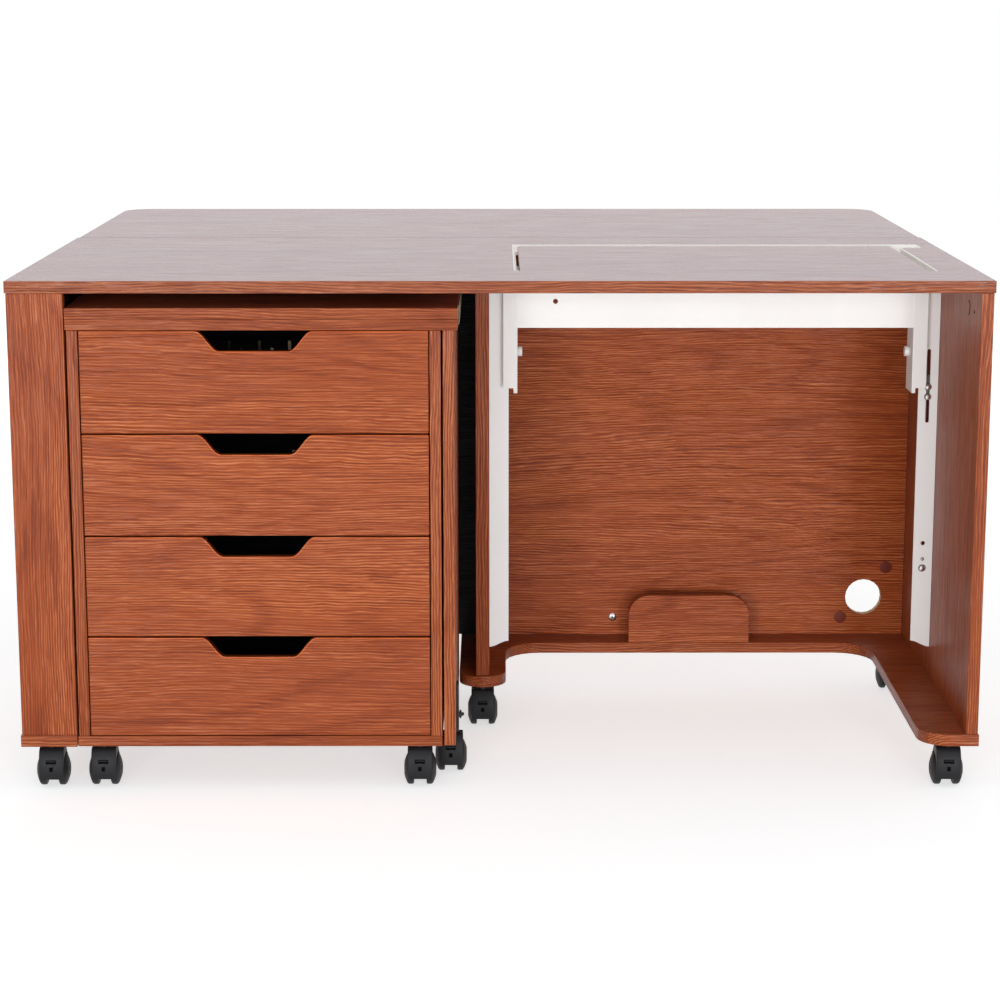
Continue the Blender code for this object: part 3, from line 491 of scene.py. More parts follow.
PEG_WOOD = Wood(
    "peg_wood",
    deep=(0.42, 0.30, 0.19),
    dark=(0.52, 0.38, 0.25),
    middle=(0.60, 0.46, 0.31),
    light=(0.68, 0.54, 0.38),
    roughness=0.55,
    pore_depth=0.0002,
)
# Painted shade for the pegs towards the left of the top drawer, in two darker tones.
PEG_PAINTED_SHADES = (PEG_WOOD, PEG_WOOD.retoned("peg_shade", 0.2), PEG_WOOD.retoned("peg_painted_deep_shade", 0.08))
WHITE_COAT = Moulded("white_powder_coat", (0.93, 0.945, 0.935), 0.55, gloss=0.1, cloud=0.012)
WHITE_PLASTIC = Moulded("white_plastic", (0.84, 0.83, 0.80), 0.45, cloud=0.02)
TRIM_WHITE_PAINTED_GLOW = Moulded("trim_white_painted_glow", (0.88, 0.87, 0.84), 0.45, cloud=0.02, glow=0.22)
FROSTED_STRIP_PAINTED_GLOW = Moulded("frosted_strip_painted_glow", (0.84, 0.88, 0.83), 0.35, cloud=0.03, glow=0.24)
BLACK_STEEL = Moulded("black_coated_steel", (0.022, 0.022, 0.024), 0.42, 0.3, skin_depth=0.0001)
BRIGHT_STEEL = Moulded("plated_steel", (0.62, 0.62, 0.61), 0.27, 1.0, drawn=Axis.Z)
DULL_STEEL = Moulded("dull_steel", (0.13, 0.145, 0.13), 0.5, gloss=0.3)
BRONZE = Moulded("hinge_bronze", (0.17, 0.13, 0.09), 0.4, 1.0, drawn=Axis.Y)
CHARCOAL = Moulded(
    "charcoal_plastic", (0.011, 0.011, 0.013), 0.44, gloss=0.26, cloud=0.12, skin_depth=0.0001
)
TREAD = Moulded(
    "tread_plastic", (0.012, 0.012, 0.013), 0.5, gloss=0.25, cloud=0.12, skin_depth=0.0001
)
# Painted shade: black for the caster's brake slot and catch hole, and for the rings on the side panel.
PAINTED_HOLLOW_SHADE = Moulded("hollow_painted_shade", (0.002, 0.002, 0.002), 0.8, gloss=0.05)
CHIPBOARD = Moulded("chipboard_core", (0.60, 0.43, 0.26), 0.8, cloud=0.25)
CAP_BROWN = Moulded("cap_plastic", (0.140, 0.027, 0.016), 0.5, gloss=0.25)
# Painted shade: dark brown for the rails' inner faces and the guides' fronts seen through the slot.
PAINTED_SLOT_SHADE = Moulded("channel_shade", (0.10, 0.022, 0.016), 0.7, gloss=0.1)


class Stock:
    """A mesh on the bench, worked with operators and then made a piece."""

    def __init__(self) -> None:
        """Start with nothing."""
        self.bm = bmesh.new()

    @classmethod
    def of_node(cls, node: str) -> "Stock":
        """A merged copy of a frame node, its flat faces made whole.

        Args:
            node: The frame node's name.

        Returns:
            The copy.
        """
        stock = cls()
        stock.bm.from_mesh(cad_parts[node].data)
        bmesh.ops.remove_doubles(stock.bm, verts=stock.bm.verts, dist=MERGE)
        bmesh.ops.dissolve_limit(
            stock.bm, angle_limit=math.radians(FLAT_ANGLE), verts=stock.bm.verts, edges=stock.bm.edges
        )
        return stock

    def box(self, low: Sequence[float], high: Sequence[float]) -> "Stock":
        """Add a block between two corners.

        Args:
            low: The lowest corner.
            high: The highest corner.

        Returns:
            This stock.
        """
        low, high = Vector(low), Vector(high)
        place = Matrix.Translation((low + high) / 2) @ Matrix.Diagonal((*(high - low), 1.0))
        bmesh.ops.create_cube(self.bm, size=1.0, matrix=place)
        return self

    def prism(self, outline: Outline, axis: Axis, low: float, high: float) -> "Stock":
        """Add a closed outline drawn across an axis and extruded along it.

        Args:
            outline: Points on the two other axes, in order.
            axis: The way it is extruded.
            low: Where it starts.
            high: Where it ends.

        Returns:
            This stock.
        """
        def at(point: Pair) -> list[float]:
            """The outline's point at the low end.

            Args:
                point: The point on the two other axes.

            Returns:
                The point in space.
            """
            whole = list(point)
            whole.insert(axis.value, low)
            return whole

        face = self.bm.faces.new([self.bm.verts.new(at(p)) for p in outline])
        grown = bmesh.ops.extrude_face_region(self.bm, geom=[face])["geom"]
        moved = [g for g in grown if isinstance(g, bmesh.types.BMVert)]
        bmesh.ops.translate(self.bm, vec=axis.unit() * (high - low), verts=moved)
        linked = {f for v in moved for f in v.link_faces} | {face}
        bmesh.ops.recalc_face_normals(self.bm, faces=list(linked))
        return self

    def rod(self, start: Point, end: Point, radius: float) -> "Stock":
        """Add a round rod between two points.

        Args:
            start: The middle of its first end.
            end: The middle of its other end.
            radius: Its radius.

        Returns:
            This stock.
        """
        run = Vector(end) - Vector(start)
        place = Matrix.Translation((Vector(start) + Vector(end)) / 2)
        place = place @ run.to_track_quat("Z", "Y").to_matrix().to_4x4()
        bmesh.ops.create_cone(
            self.bm, cap_ends=True, segments=ROD_SIDES, radius1=radius, radius2=radius,
            depth=run.length, matrix=place,
        )
        return self

    def turned(self, profile: Outline, middle: Point, axis: Axis, steps: int = TURNED_SIDES) -> "Stock":
        """Add a profile spun round an axis.

        Args:
            profile: Each point's place along the axis and its radius.
            middle: A point on the axis that the places count from.
            axis: The axis.
            steps: How many facets it has.

        Returns:
            This stock.
        """
        turn = axis.unit()
        side = Axis((axis.value + 1) % 3).unit()
        verts = [self.bm.verts.new(Vector(middle) + turn * a + side * r) for a, r in profile]
        edges = [self.bm.edges.new(pair) for pair in zip(verts, verts[1:])]
        bmesh.ops.spin(
            self.bm, geom=[*verts, *edges], cent=middle, axis=turn, angle=math.tau, steps=steps,
            use_merge=True, use_duplicate=False,
        )
        bmesh.ops.remove_doubles(self.bm, verts=self.bm.verts, dist=MERGE)
        bmesh.ops.recalc_face_normals(self.bm, faces=self.bm.faces)
        return self

    def dome(self, foot: Point, axis: Axis, radius: float, height: float) -> "Stock":
        """Add a domed head that stands on a face.

        Args:
            foot: The middle of the face it stands on.
            axis: The way it stands up.
            radius: Its radius.
            height: How far it stands up, below zero for the other way.

        Returns:
            This stock.
        """
        rise = [(0.0, 1.0), (0.3, 1.0), (0.62, 0.9), (0.86, 0.66), (1.0, 0.3), (1.0, 0.0)]
        profile = [(0.0, 0.0), *((height * a, radius * r) for a, r in rise)]
        return self.turned(profile, foot, axis, HEAD_SIDES)

    def soften(
        self, width: float, segments: int = 2, above: float = 30.0,
        only: Callable[[bmesh.types.BMEdge], bool] = lambda edge: True,
    ) -> "Stock":
        """Round the edges that are sharper than an angle.

        Args:
            width: How far the rounding reaches from each edge.
            segments: How many facets it has.
            above: The angle between faces, in degrees, above which an edge is rounded.
            only: Says which of those edges are rounded.

        Returns:
            This stock.
        """
        limit = math.radians(above)
        whole = [e for e in self.bm.edges if len(e.link_faces) == 2]
        sharp = [e for e in whole if e.calc_face_angle() > limit and only(e)]
        bmesh.ops.bevel(
            self.bm, geom=sharp, offset=width, offset_type="OFFSET", segments=segments, profile=0.5,
            affect="EDGES", material=-1, clamp_overlap=True,
        )
        return self

    def cut_at(self, axis: Axis, *places: float) -> "Stock":
        """Divide every face at planes across an axis, leaving all of it in place.

        Args:
            axis: The axis.
            *places: Where the planes cross it.

        Returns:
            This stock.
        """
        normal = axis.unit()
        for place in places:
            geom = [*self.bm.verts, *self.bm.edges, *self.bm.faces]
            bmesh.ops.bisect_plane(
                self.bm, geom=geom, dist=MERGE, plane_co=normal * place, plane_no=normal
            )
        return self

    def sink(self, chosen: Callable[[bmesh.types.BMFace], bool], rim: float, depth: float) -> "Stock":
        """Press a patch of faces in, inside a narrow rim.

        Args:
            chosen: Says which faces belong to the patch.
            rim: The rim's width.
            depth: How far the patch goes in.

        Returns:
            This stock.
        """
        patch = [f for f in self.bm.faces if chosen(f)]
        bmesh.ops.inset_region(self.bm, faces=patch, thickness=rim, use_even_offset=True)
        grown = bmesh.ops.extrude_face_region(self.bm, geom=patch)["geom"]
        verts = [g for g in grown if isinstance(g, bmesh.types.BMVert)]
        normal = sum((f.normal for f in patch), Vector()).normalized()
        bmesh.ops.translate(self.bm, vec=-normal * depth, verts=verts)
        bmesh.ops.delete(self.bm, geom=[f for f in patch if f.is_valid], context="FACES")
        return self

    def moved(self, by: Point) -> "Stock":
        """Shift everything on the bench."""
        bmesh.ops.translate(self.bm, vec=by, verts=self.bm.verts)
        return self

    def paint(self, choose: Callable[[bmesh.types.BMFace], int]) -> "Stock":
        """Give each face one of the finishes.

        Args:
            choose: Says the number of a face's finish.

        Returns:
            This stock.
        """
        for face in self.bm.faces:
            face.material_index = choose(face)
        return self

    def piece(
        self, name: str, body: str, slot: Slot, finishes: Sequence[bpy.types.Material],
        stands_for: Sequence[str] = (), sharp: float = SHARP_ANGLE,
    ) -> None:
        """Make the stock an object that rides on a body.

        Args:
            name: The piece's name.
            body: The body it moves with.
            slot: The record's slot; not used.
            finishes: Its materials, in the order of the faces' numbers.
            stands_for: The frame nodes that it replaces.
            sharp: The angle above which an edge stays sharp.
        """
        mesh = bpy.data.meshes.new(name)
        self.bm.to_mesh(mesh)
        self.bm.free()
        for material in finishes:
            mesh.materials.append(material)
        mesh.shade_smooth()
        mesh.set_sharp_from_angle(angle=math.radians(sharp))
        made = bpy.data.objects.new(name, mesh)
        bpy.context.scene.collection.objects.link(made)
        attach(made, body)
        if stands_for:
            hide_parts(*stands_for)
        LOG.info("%s: %d faces on %s", name, len(mesh.polygons), body)


def arc(middle: Pair, radius: float, start: float, end: float, steps: int) -> Outline:
    """Points on an arc, both ends included.

    Args:
        middle: The arc's middle.
        radius: Its radius.
        start: The first point's angle in degrees.
        end: The last point's angle.
        steps: How many chords it has.

    Returns:
        The points.
    """
    turns = [math.radians(start + (end - start) * k / steps) for k in range(steps + 1)]
    return [(middle[0] + radius * math.cos(t), middle[1] + radius * math.sin(t)) for t in turns]


@dataclass
class Board:
    """A flat board, banded round its edges."""

    node: str
    body: str
    grain: Axis
    wood: Wood = TEAK
    soft: float = 0.0009
    shaped: bool = False
    band: Wood = TEAK_EDGE

    @cached_property
    def box(self) -> Box:
        """The lowest and the highest corner of the board's node."""
        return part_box(self.node)

    def stock(self) -> Stock:
        """The board's mesh: a plain block, or a copy of a node with holes or curves.

        Returns:
            The stock.
        """
        if self.shaped:
            return Stock.of_node(self.node).soften(self.soft)
        return Stock().box(*self.box).soften(self.soft)

    def finishes(self) -> list[bpy.types.Material]:
        """The faces' finish, one for bands along each axis, and the extra ones."""
        bands = [self.band.along(axis) for axis in Axis]
        return [self.wood.along(self.grain), *bands, *self.extras()]

    def extras(self) -> list[bpy.types.Material]:
        """Finishes beside the wood and its bands."""
        return []

    def extra_of(self, face: bmesh.types.BMFace) -> int | None:
        """Which of the extra finishes a face has, or None for wood."""
        return None

    def finish_of(self, face: bmesh.types.BMFace) -> int:
        """The finish of one face: an extra one, the board's own, or a band along the edge.

        Args:
            face: The face.

        Returns:
            The number of its finish.
        """
        extra = self.extra_of(face)
        if extra is not None:
            return 1 + len(Axis) + extra
        low, high = self.box
        thin = min(range(3), key=lambda k: high[k] - low[k])
        facing = max(range(3), key=lambda k: abs(face.normal[k]))
        if facing == thin:
            return 0
        run = 3 - thin - facing
        return 1 + run

    def make(self) -> None:
        """Build the board and put it on its body."""
        stock = self.stock().paint(self.finish_of)
        stock.piece(f"{self.node}_board", self.body, Slot.WOOD, self.finishes(), [self.node])


@dataclass
class BackPanel(Board):
    """The back board, black where it closes the caddy's bay, with a bare cable hole."""

    rim: float = 0.004

    @cached_property
    def bay_end(self) -> float:
        """Where the divider closes the bay."""
        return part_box("divider_panel")[0].x

    def stock(self) -> Stock:
        """The board, divided where the bay ends."""
        return super().stock().cut_at(Axis.X, self.bay_end)

    def extras(self) -> list[bpy.types.Material]:
        """Black laminate and the board's core."""
        return [BLACK_WOOD.along(Axis.X), CHIPBOARD.material()]

    def extra_of(self, face: bmesh.types.BMFace) -> int | None:
        """Black in front on the bay's side of the divider, and core in the cable hole.

        Args:
            face: The face.

        Returns:
            The number of the extra finish, or None for wood.
        """
        middle = face.calc_center_median()
        if face.normal.y < -0.5 and middle.x < self.bay_end:
            return 0
        low, high = self.box
        inset = min(high.x - middle.x, middle.x - low.x, high.z - middle.z, middle.z - low.z)
        return 1 if abs(face.normal.y) < 0.3 and inset > self.rim else None


@dataclass
class Worktop(Board):
    """The board with the machine opening, whose lined edges are white with a painted glow."""

    lined: float = 0.002

    @cached_property
    def opening(self) -> Box:
        """The lowest and the highest corner of the strip in the opening."""
        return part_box("opening_trim")

    def extras(self) -> list[bpy.types.Material]:
        """The lining's white, with a painted glow."""
        return [TRIM_WHITE_PAINTED_GLOW.material()]

    def extra_of(self, face: bmesh.types.BMFace) -> int | None:
        """White with a painted glow on the opening's left, rear and right walls.

        Args:
            face: The face.

        Returns:
            The number of the extra finish, or None for wood.
        """
        low, high = self.opening
        middle = face.calc_center_median()
        inside = all(low[k] - self.lined < middle[k] < high[k] + self.lined for k in (0, 1))
        return 0 if inside and abs(face.normal.z) < 0.9 and face.normal.y < 0.5 else None


@dataclass
class DrawerFront(Board):
    """A drawer's front, with a painted highlight on its eased edge and painted shade in its cut-out."""

    soft: float = 0.0015
    tilt: float = 0.15
    rim: float = 0.003

    def extras(self) -> list[bpy.types.Material]:
        """The wood as a painted highlight and as painted shade."""
        return [PAINTED_HIGHLIGHT_RIM.along(self.grain), PAINTED_SHADE_RIM.along(self.grain)]

    def extra_of(self, face: bmesh.types.BMFace) -> int | None:
        """Painted highlight on the eased edges that face up and to the front, and painted shade on the
        faces inside the cut-out that look up.

        Args:
            face: The face.

        Returns:
            The number of the extra finish, or None for plain wood.
        """
        if face.normal.z <= self.tilt:
            return None
        if face.normal.y < -self.tilt:
            return 0
        inside = face.calc_center_median().z < self.box[1].z - self.rim
        return 1 if inside else None


@dataclass
class FlipLeaf(Board):
    """The second layer of the caddy's top, with its hinge plate at the right."""

    seam: float = 0.0001

    @cached_property
    def edge(self) -> float:
        """Just past the right edge of the caddy's top."""
        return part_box("caddy_top")[1].x + self.seam

    def extras(self) -> list[bpy.types.Material]:
        """The hinge plate's bronze."""
        return [BRONZE.material()]

    def extra_of(self, face: bmesh.types.BMFace) -> int | None:
        """Bronze on what stands out past the top's right edge."""
        return 0 if face.calc_center_median().x > self.edge else None


@dataclass
class Carcass:
    """The cabinet's boards, its leaf and its machine platform."""

    boards: list[Board] = field(default_factory=lambda: [
        Worktop("worktop", "cabinet", Axis.X, wood=TEAK_TOP, shaped=True, band=TOP_EDGE),
        Board("right_side_panel", "cabinet", Axis.Z),
        Board("left_side_panel", "cabinet", Axis.Z),
        Board("left_front_stile", "cabinet", Axis.Z),
        Board("divider_panel", "cabinet", Axis.Z),
        BackPanel("back_panel", "cabinet", Axis.X, shaped=True),
        Board("base_frame", "cabinet", Axis.X, shaped=True),
        Board("left_foot_plate", "cabinet", Axis.Y),
        Board("rear_stop_panel", "cabinet", Axis.X, shaped=True),
        Board("rear_leaf", "leaf", Axis.X, wood=TEAK_TOP, shaped=True),
        Board("lift_platform", "lift", Axis.X, wood=TEAK_TOP),
    ])
    trim_soft: float = 0.0003
    frosted_height: float = 0.014
    frosted_stop: float = 0.03

    def make(self) -> None:
        """Build every board and line the machine opening."""
        for board in self.boards:
            board.make()
        self.trim()

    def trim(self) -> None:
        """The strip round the machine opening, white with a painted glow, and frosted, also with a
        painted glow, along the upper part of its right wall.
        """
        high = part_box("opening_trim")[1]
        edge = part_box("lift_platform")[1].x
        foot = high.z - self.frosted_height
        stop = high.y - self.frosted_stop
        stock = Stock.of_node("opening_trim").soften(self.trim_soft, segments=1).cut_at(Axis.Z, foot)

        def tone(face: bmesh.types.BMFace) -> int:
            """One on the upper part of the right wall, which is frosted and has a painted glow."""
            middle = face.calc_center_median()
            return int(middle.x > edge and middle.z > foot and middle.y < stop)

        finishes = [TRIM_WHITE_PAINTED_GLOW.material(), FROSTED_STRIP_PAINTED_GLOW.material()]
        stock.paint(tone)
        stock.piece("opening_trim_strip", "cabinet", Slot.PLASTIC, finishes, ["opening_trim"])


@dataclass
class Lift:
    """The machine lift: rails, carriage, guides and gas spring."""

    soft: float = 0.0005
    guide_soft: float = 0.0008
    tube_soft: float = 0.001
    lip_depth: float = 0.03
    broad: float = 0.0005

    def make(self) -> None:
        """Build each sheet part, the guides and the spring."""
        # The rails' rear lips and the guides' fronts take painted shade on their broad front faces.
        coat = [WHITE_COAT.material(), PAINTED_SLOT_SHADE.material()]
        plastic = [WHITE_PLASTIC.material(), PAINTED_SLOT_SHADE.material()]
        for side in ("left", "right"):
            rail = f"lift_rail_{side}"
            channel = self.inner_side(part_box(rail)[0].y + self.lip_depth)
            stock = Stock.of_node(rail).soften(self.soft).paint(channel)
            stock.piece(f"{rail}_sheet", "cabinet", Slot.PAINT, coat, [rail])
            guide = f"lift_guide_{side}"
            stock = Stock.of_node(guide).soften(self.guide_soft).paint(self.inner_side())
            stock.piece(f"{guide}_block", "lift", Slot.PLASTIC, plastic, [guide], ROUND_ANGLE)
        stock = Stock.of_node("lift_carriage").soften(self.soft)
        stock.piece("lift_carriage_sheet", "lift", Slot.PAINT, coat, ["lift_carriage"])
        steel, bright = [BLACK_STEEL.material()], [BRIGHT_STEEL.material()]
        tube = Stock.of_node("gas_cylinder").soften(self.tube_soft)
        tube.piece("gas_cylinder_tube", "lift", Slot.STEEL, steel, ["gas_cylinder"], ROUND_ANGLE)
        rod = Stock.of_node("gas_rod").soften(self.soft)
        rod.piece("gas_rod_stand", "cabinet", Slot.BRIGHT, bright, ["gas_rod"], ROUND_ANGLE)

    def inner_side(self, behind: float = -math.inf) -> Callable[[bmesh.types.BMFace], int]:
        """A rule that paints shade on the broad faces seen through the right rail's slot.

        Args:
            behind: Only faces further back than this are shaded.

        Returns:
            The rule, for painting.
        """
        def tone(face: bmesh.types.BMFace) -> int:
            """One, the painted shade, for a broad face that looks to the front."""
            broad = face.normal.y < -0.9 and face.calc_area() > self.broad
            return int(broad and face.calc_center_median().y > behind)

        return tone


@dataclass
class Stays:
    """The folding stays that hold the opened leaf."""

    soft: float = 0.0005

    def make(self) -> None:
        """Build both stays from their frame nodes."""
        steel = [BLACK_STEEL.material()]
        for side in ("left", "right"):
            for part, body in (("rail", "cabinet"), ("arm", "leaf"), ("strut", f"strut_{side}")):
                node = f"stay_{part}_{side}"
                stock = Stock.of_node(node).soften(self.soft)
                stock.piece(f"{node}_steel", body, Slot.STEEL, steel, [node], ROUND_ANGLE)


@dataclass
class Caddy:
    """The roll-out drawer unit."""

    boards: list[Board] = field(default_factory=lambda: [
        Board("caddy_left_side", "caddy", Axis.Z, shaped=True),
        Board("caddy_right_side", "caddy", Axis.Z, shaped=True),
        Board("caddy_base", "caddy", Axis.X),
        Board("caddy_back", "caddy", Axis.X),
        Board("caddy_top", "caddy", Axis.X),
        Board("gate_leg", "caddy", Axis.Z, shaped=True),
        FlipLeaf("caddy_flip_leaf", "caddy", Axis.X, shaped=True),
    ])
    drawers: int = 4
    tray_soft: float = 0.0009

    def make(self) -> None:
        """Build the case and every drawer."""
        for board in self.boards:
            board.make()
        for number in range(1, self.drawers + 1):
            self.drawer(f"drawer_{number}")

    def drawer(self, body: str) -> None:
        """One drawer's front and box.

        Args:
            body: The drawer's body, which its nodes are named after.
        """
        DrawerFront(f"{body}_front", body, Axis.X, shaped=True).make()
        stock = Stock.of_node(f"{body}_box").soften(self.tray_soft)
        finishes = [BLACK_WOOD.along(Axis.X)]
        stock.piece(f"{body}_tray", body, Slot.BLACK, finishes, [f"{body}_box"])


@dataclass
class Caster:
    """A twin-wheel caster, its hood with a brake lever in front.

    Places on the hood count from the top of the stem, and its angles go round the axle from the
    rear, in degrees.
    """

    name: str
    height: float = 0.067
    radius: float = 0.0245
    trail: float = 0.010
    gap: float = 0.0008
    shell: float = 0.0028
    half: float = 0.0185
    lip: float = 0.0018
    crown: float = 0.005
    flat: Pair = (-0.003, 0.0145)
    rear: float = 12.0
    rear_crown: float = 55.0
    front: float = 202.0
    web_half: float = 0.0084
    web_inset: float = 3.0
    web_bite: float = 0.0006
    hub: float = 0.010
    stem: float = 0.0055
    stem_root: float = 0.001
    stem_gap: float = 0.0002
    slot: Pair = (-0.0284, -0.0220)
    slot_half: float = 0.0080
    catch: Pair = (-0.0398, -0.0330)
    catch_half: float = 0.0027
    slot_front: float = 0.0035
    slot_rim: float = 0.0005
    slot_depth: float = 0.0014
    slot_wall: float = 0.0004
    lever: Point = (0.0, -0.0150, -0.0250)
    lever_half: Point = (0.0064, 0.0020, 0.0017)
    axle: float = 0.0030
    axle_half: float = 0.0100

    def foot(self) -> Vector:
        """The top of the stem, where the caster is screwed on.

        Returns:
            The place.
        """
        low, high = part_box(f"{self.name}_hood")
        y = low.y + self.radius + self.shell - self.trail
        return Vector(((low.x + high.x) / 2, y, self.height))

    def make(self) -> None:
        """Build the hood and the wheels and put them in place."""
        foot = self.foot()
        hood = f"{self.name}_hood"
        finishes = [CHARCOAL.material(), PAINTED_HOLLOW_SHADE.material()]
        stock = self.hood().moved(foot)
        stock.piece(f"{hood}_shell", self.name, Slot.CASTER, finishes, [hood], ROUND_ANGLE)
        wheels = f"{self.name}_wheels"
        body = f"{self.name}_wheel"
        stock = self.wheels().moved(foot + Vector((0.0, self.trail, self.radius - self.height)))
        stock.piece(f"{wheels}_pair", body, Slot.CASTER, [TREAD.material()], [wheels], ROUND_ANGLE)

    def hood(self) -> Stock:
        """The hood with its lever, web and stem, its stem's top at zero.

        Returns:
            The stock.
        """
        axle = (self.trail, self.radius - self.height)
        inner = self.radius + self.gap
        outer = self.radius + self.shell
        web = inner + self.web_bite
        outline = arc(axle, outer, self.rear, self.rear_crown, steps=6) + [(self.flat[1], -self.crown)]
        outline += self.brow(axle[1], outer)
        outline += arc(axle, outer, 180.0, self.front, steps=4)[1:]
        outline += arc(axle, inner, self.front, self.rear, steps=24)
        stock = Stock().prism(outline, Axis.X, -self.half, self.half)

        def outside(edge: bmesh.types.BMEdge) -> bool:
            """Whether an edge runs round the outside of one of the hood's ends."""
            far = [math.dist(v.co.yz, axle) > web for v in edge.verts]
            return all(far) and edge.verts[0].co.x * edge.verts[1].co.x > 0.0

        self.brake(stock.soften(self.lip, segments=3, above=50.0, only=outside))
        rim = arc(axle, web, self.rear + self.web_inset, self.front - self.web_inset, steps=24)
        stock.prism([axle, *rim], Axis.X, -self.web_half, self.web_half)
        stock.rod((-self.web_half, *axle), (self.web_half, *axle), self.hub)
        root = -self.crown - self.stem_root
        stock.rod((0.0, 0.0, root), (0.0, 0.0, -self.stem_gap), self.stem)
        lever, half = Vector(self.lever), Vector(self.lever_half)
        return stock.box(lever - half, lever + half)

    def brow(self, axle: float, outer: float) -> Outline:
        """The hood's front, from its flat top down to the axle's height.

        Args:
            axle: The axle's height.
            outer: The hood's outer radius.

        Returns:
            The points.
        """
        steps = 18
        deep = outer - self.trail + self.flat[0]
        high = -self.crown - axle
        turns = [math.pi / 2 * k / steps for k in range(steps + 1)]
        return [(self.flat[0] - deep * math.sin(t), axle + high * math.cos(t)) for t in turns]

    def brake(self, stock: Stock) -> None:
        """Press the lever's slot and the catch's hole into the hood's front, and paint shade in them.

        Args:
            stock: The hood.
        """
        low, high = self.slot
        end, catch = self.catch
        stock.cut_at(Axis.X, -self.slot_half, -self.catch_half, self.catch_half, self.slot_half)
        stock.cut_at(Axis.Z, high, low, catch, end)
        front = self.trail - self.radius - self.gap + self.slot_front

        def inside(face: bmesh.types.BMFace) -> bool:
            """Whether a face belongs to the T-shaped opening.

            Args:
                face: The face.

            Returns:
                True for a face that is pressed in.
            """
            middle = face.calc_center_median()
            if face.normal.y > -0.5 or middle.y > front:
                return False
            half = self.slot_half if middle.z > low else self.catch_half
            return end < middle.z < high and abs(middle.x) < half

        def depth(face: bmesh.types.BMFace) -> int:
            """Painted shade, black, in the opening, apart from the step above the catch's hole.

            Args:
                face: The face.

            Returns:
                The number of its finish.
            """
            middle = face.calc_center_median()
            half = self.slot_half - self.slot_wall
            slot = abs(middle.x) < half and low < middle.z < high - self.slot_wall
            hole = abs(middle.x) < self.catch_half and end < middle.z < catch
            return int((slot or hole) and face.normal.y < -0.3)

        stock.sink(inside, self.slot_rim, self.slot_depth).paint(depth)

    def wheels(self) -> Stock:
        """Both domed wheels and their axle, round the axle's middle.

        Returns:
            The stock.
        """
        side = [
            (0.0096, 0.0), (0.0096, 0.0228), (0.0104, 0.0241), (0.0118, 0.0245), (0.0168, 0.0245),
            (0.0184, 0.0237), (0.0199, 0.0219), (0.0216, 0.0180), (0.0231, 0.0139), (0.0239, 0.0115),
            (0.0241, 0.0100), (0.0236, 0.0092), (0.0236, 0.0042), (0.0241, 0.0036), (0.0241, 0.0),
        ]
        stock = Stock()
        for sign in (1.0, -1.0):
            stock.turned([(sign * x, r) for x, r in side], (0.0, 0.0, 0.0), Axis.X, steps=40)
        return stock.rod((-self.axle_half, 0.0, 0.0), (self.axle_half, 0.0, 0.0), self.axle)


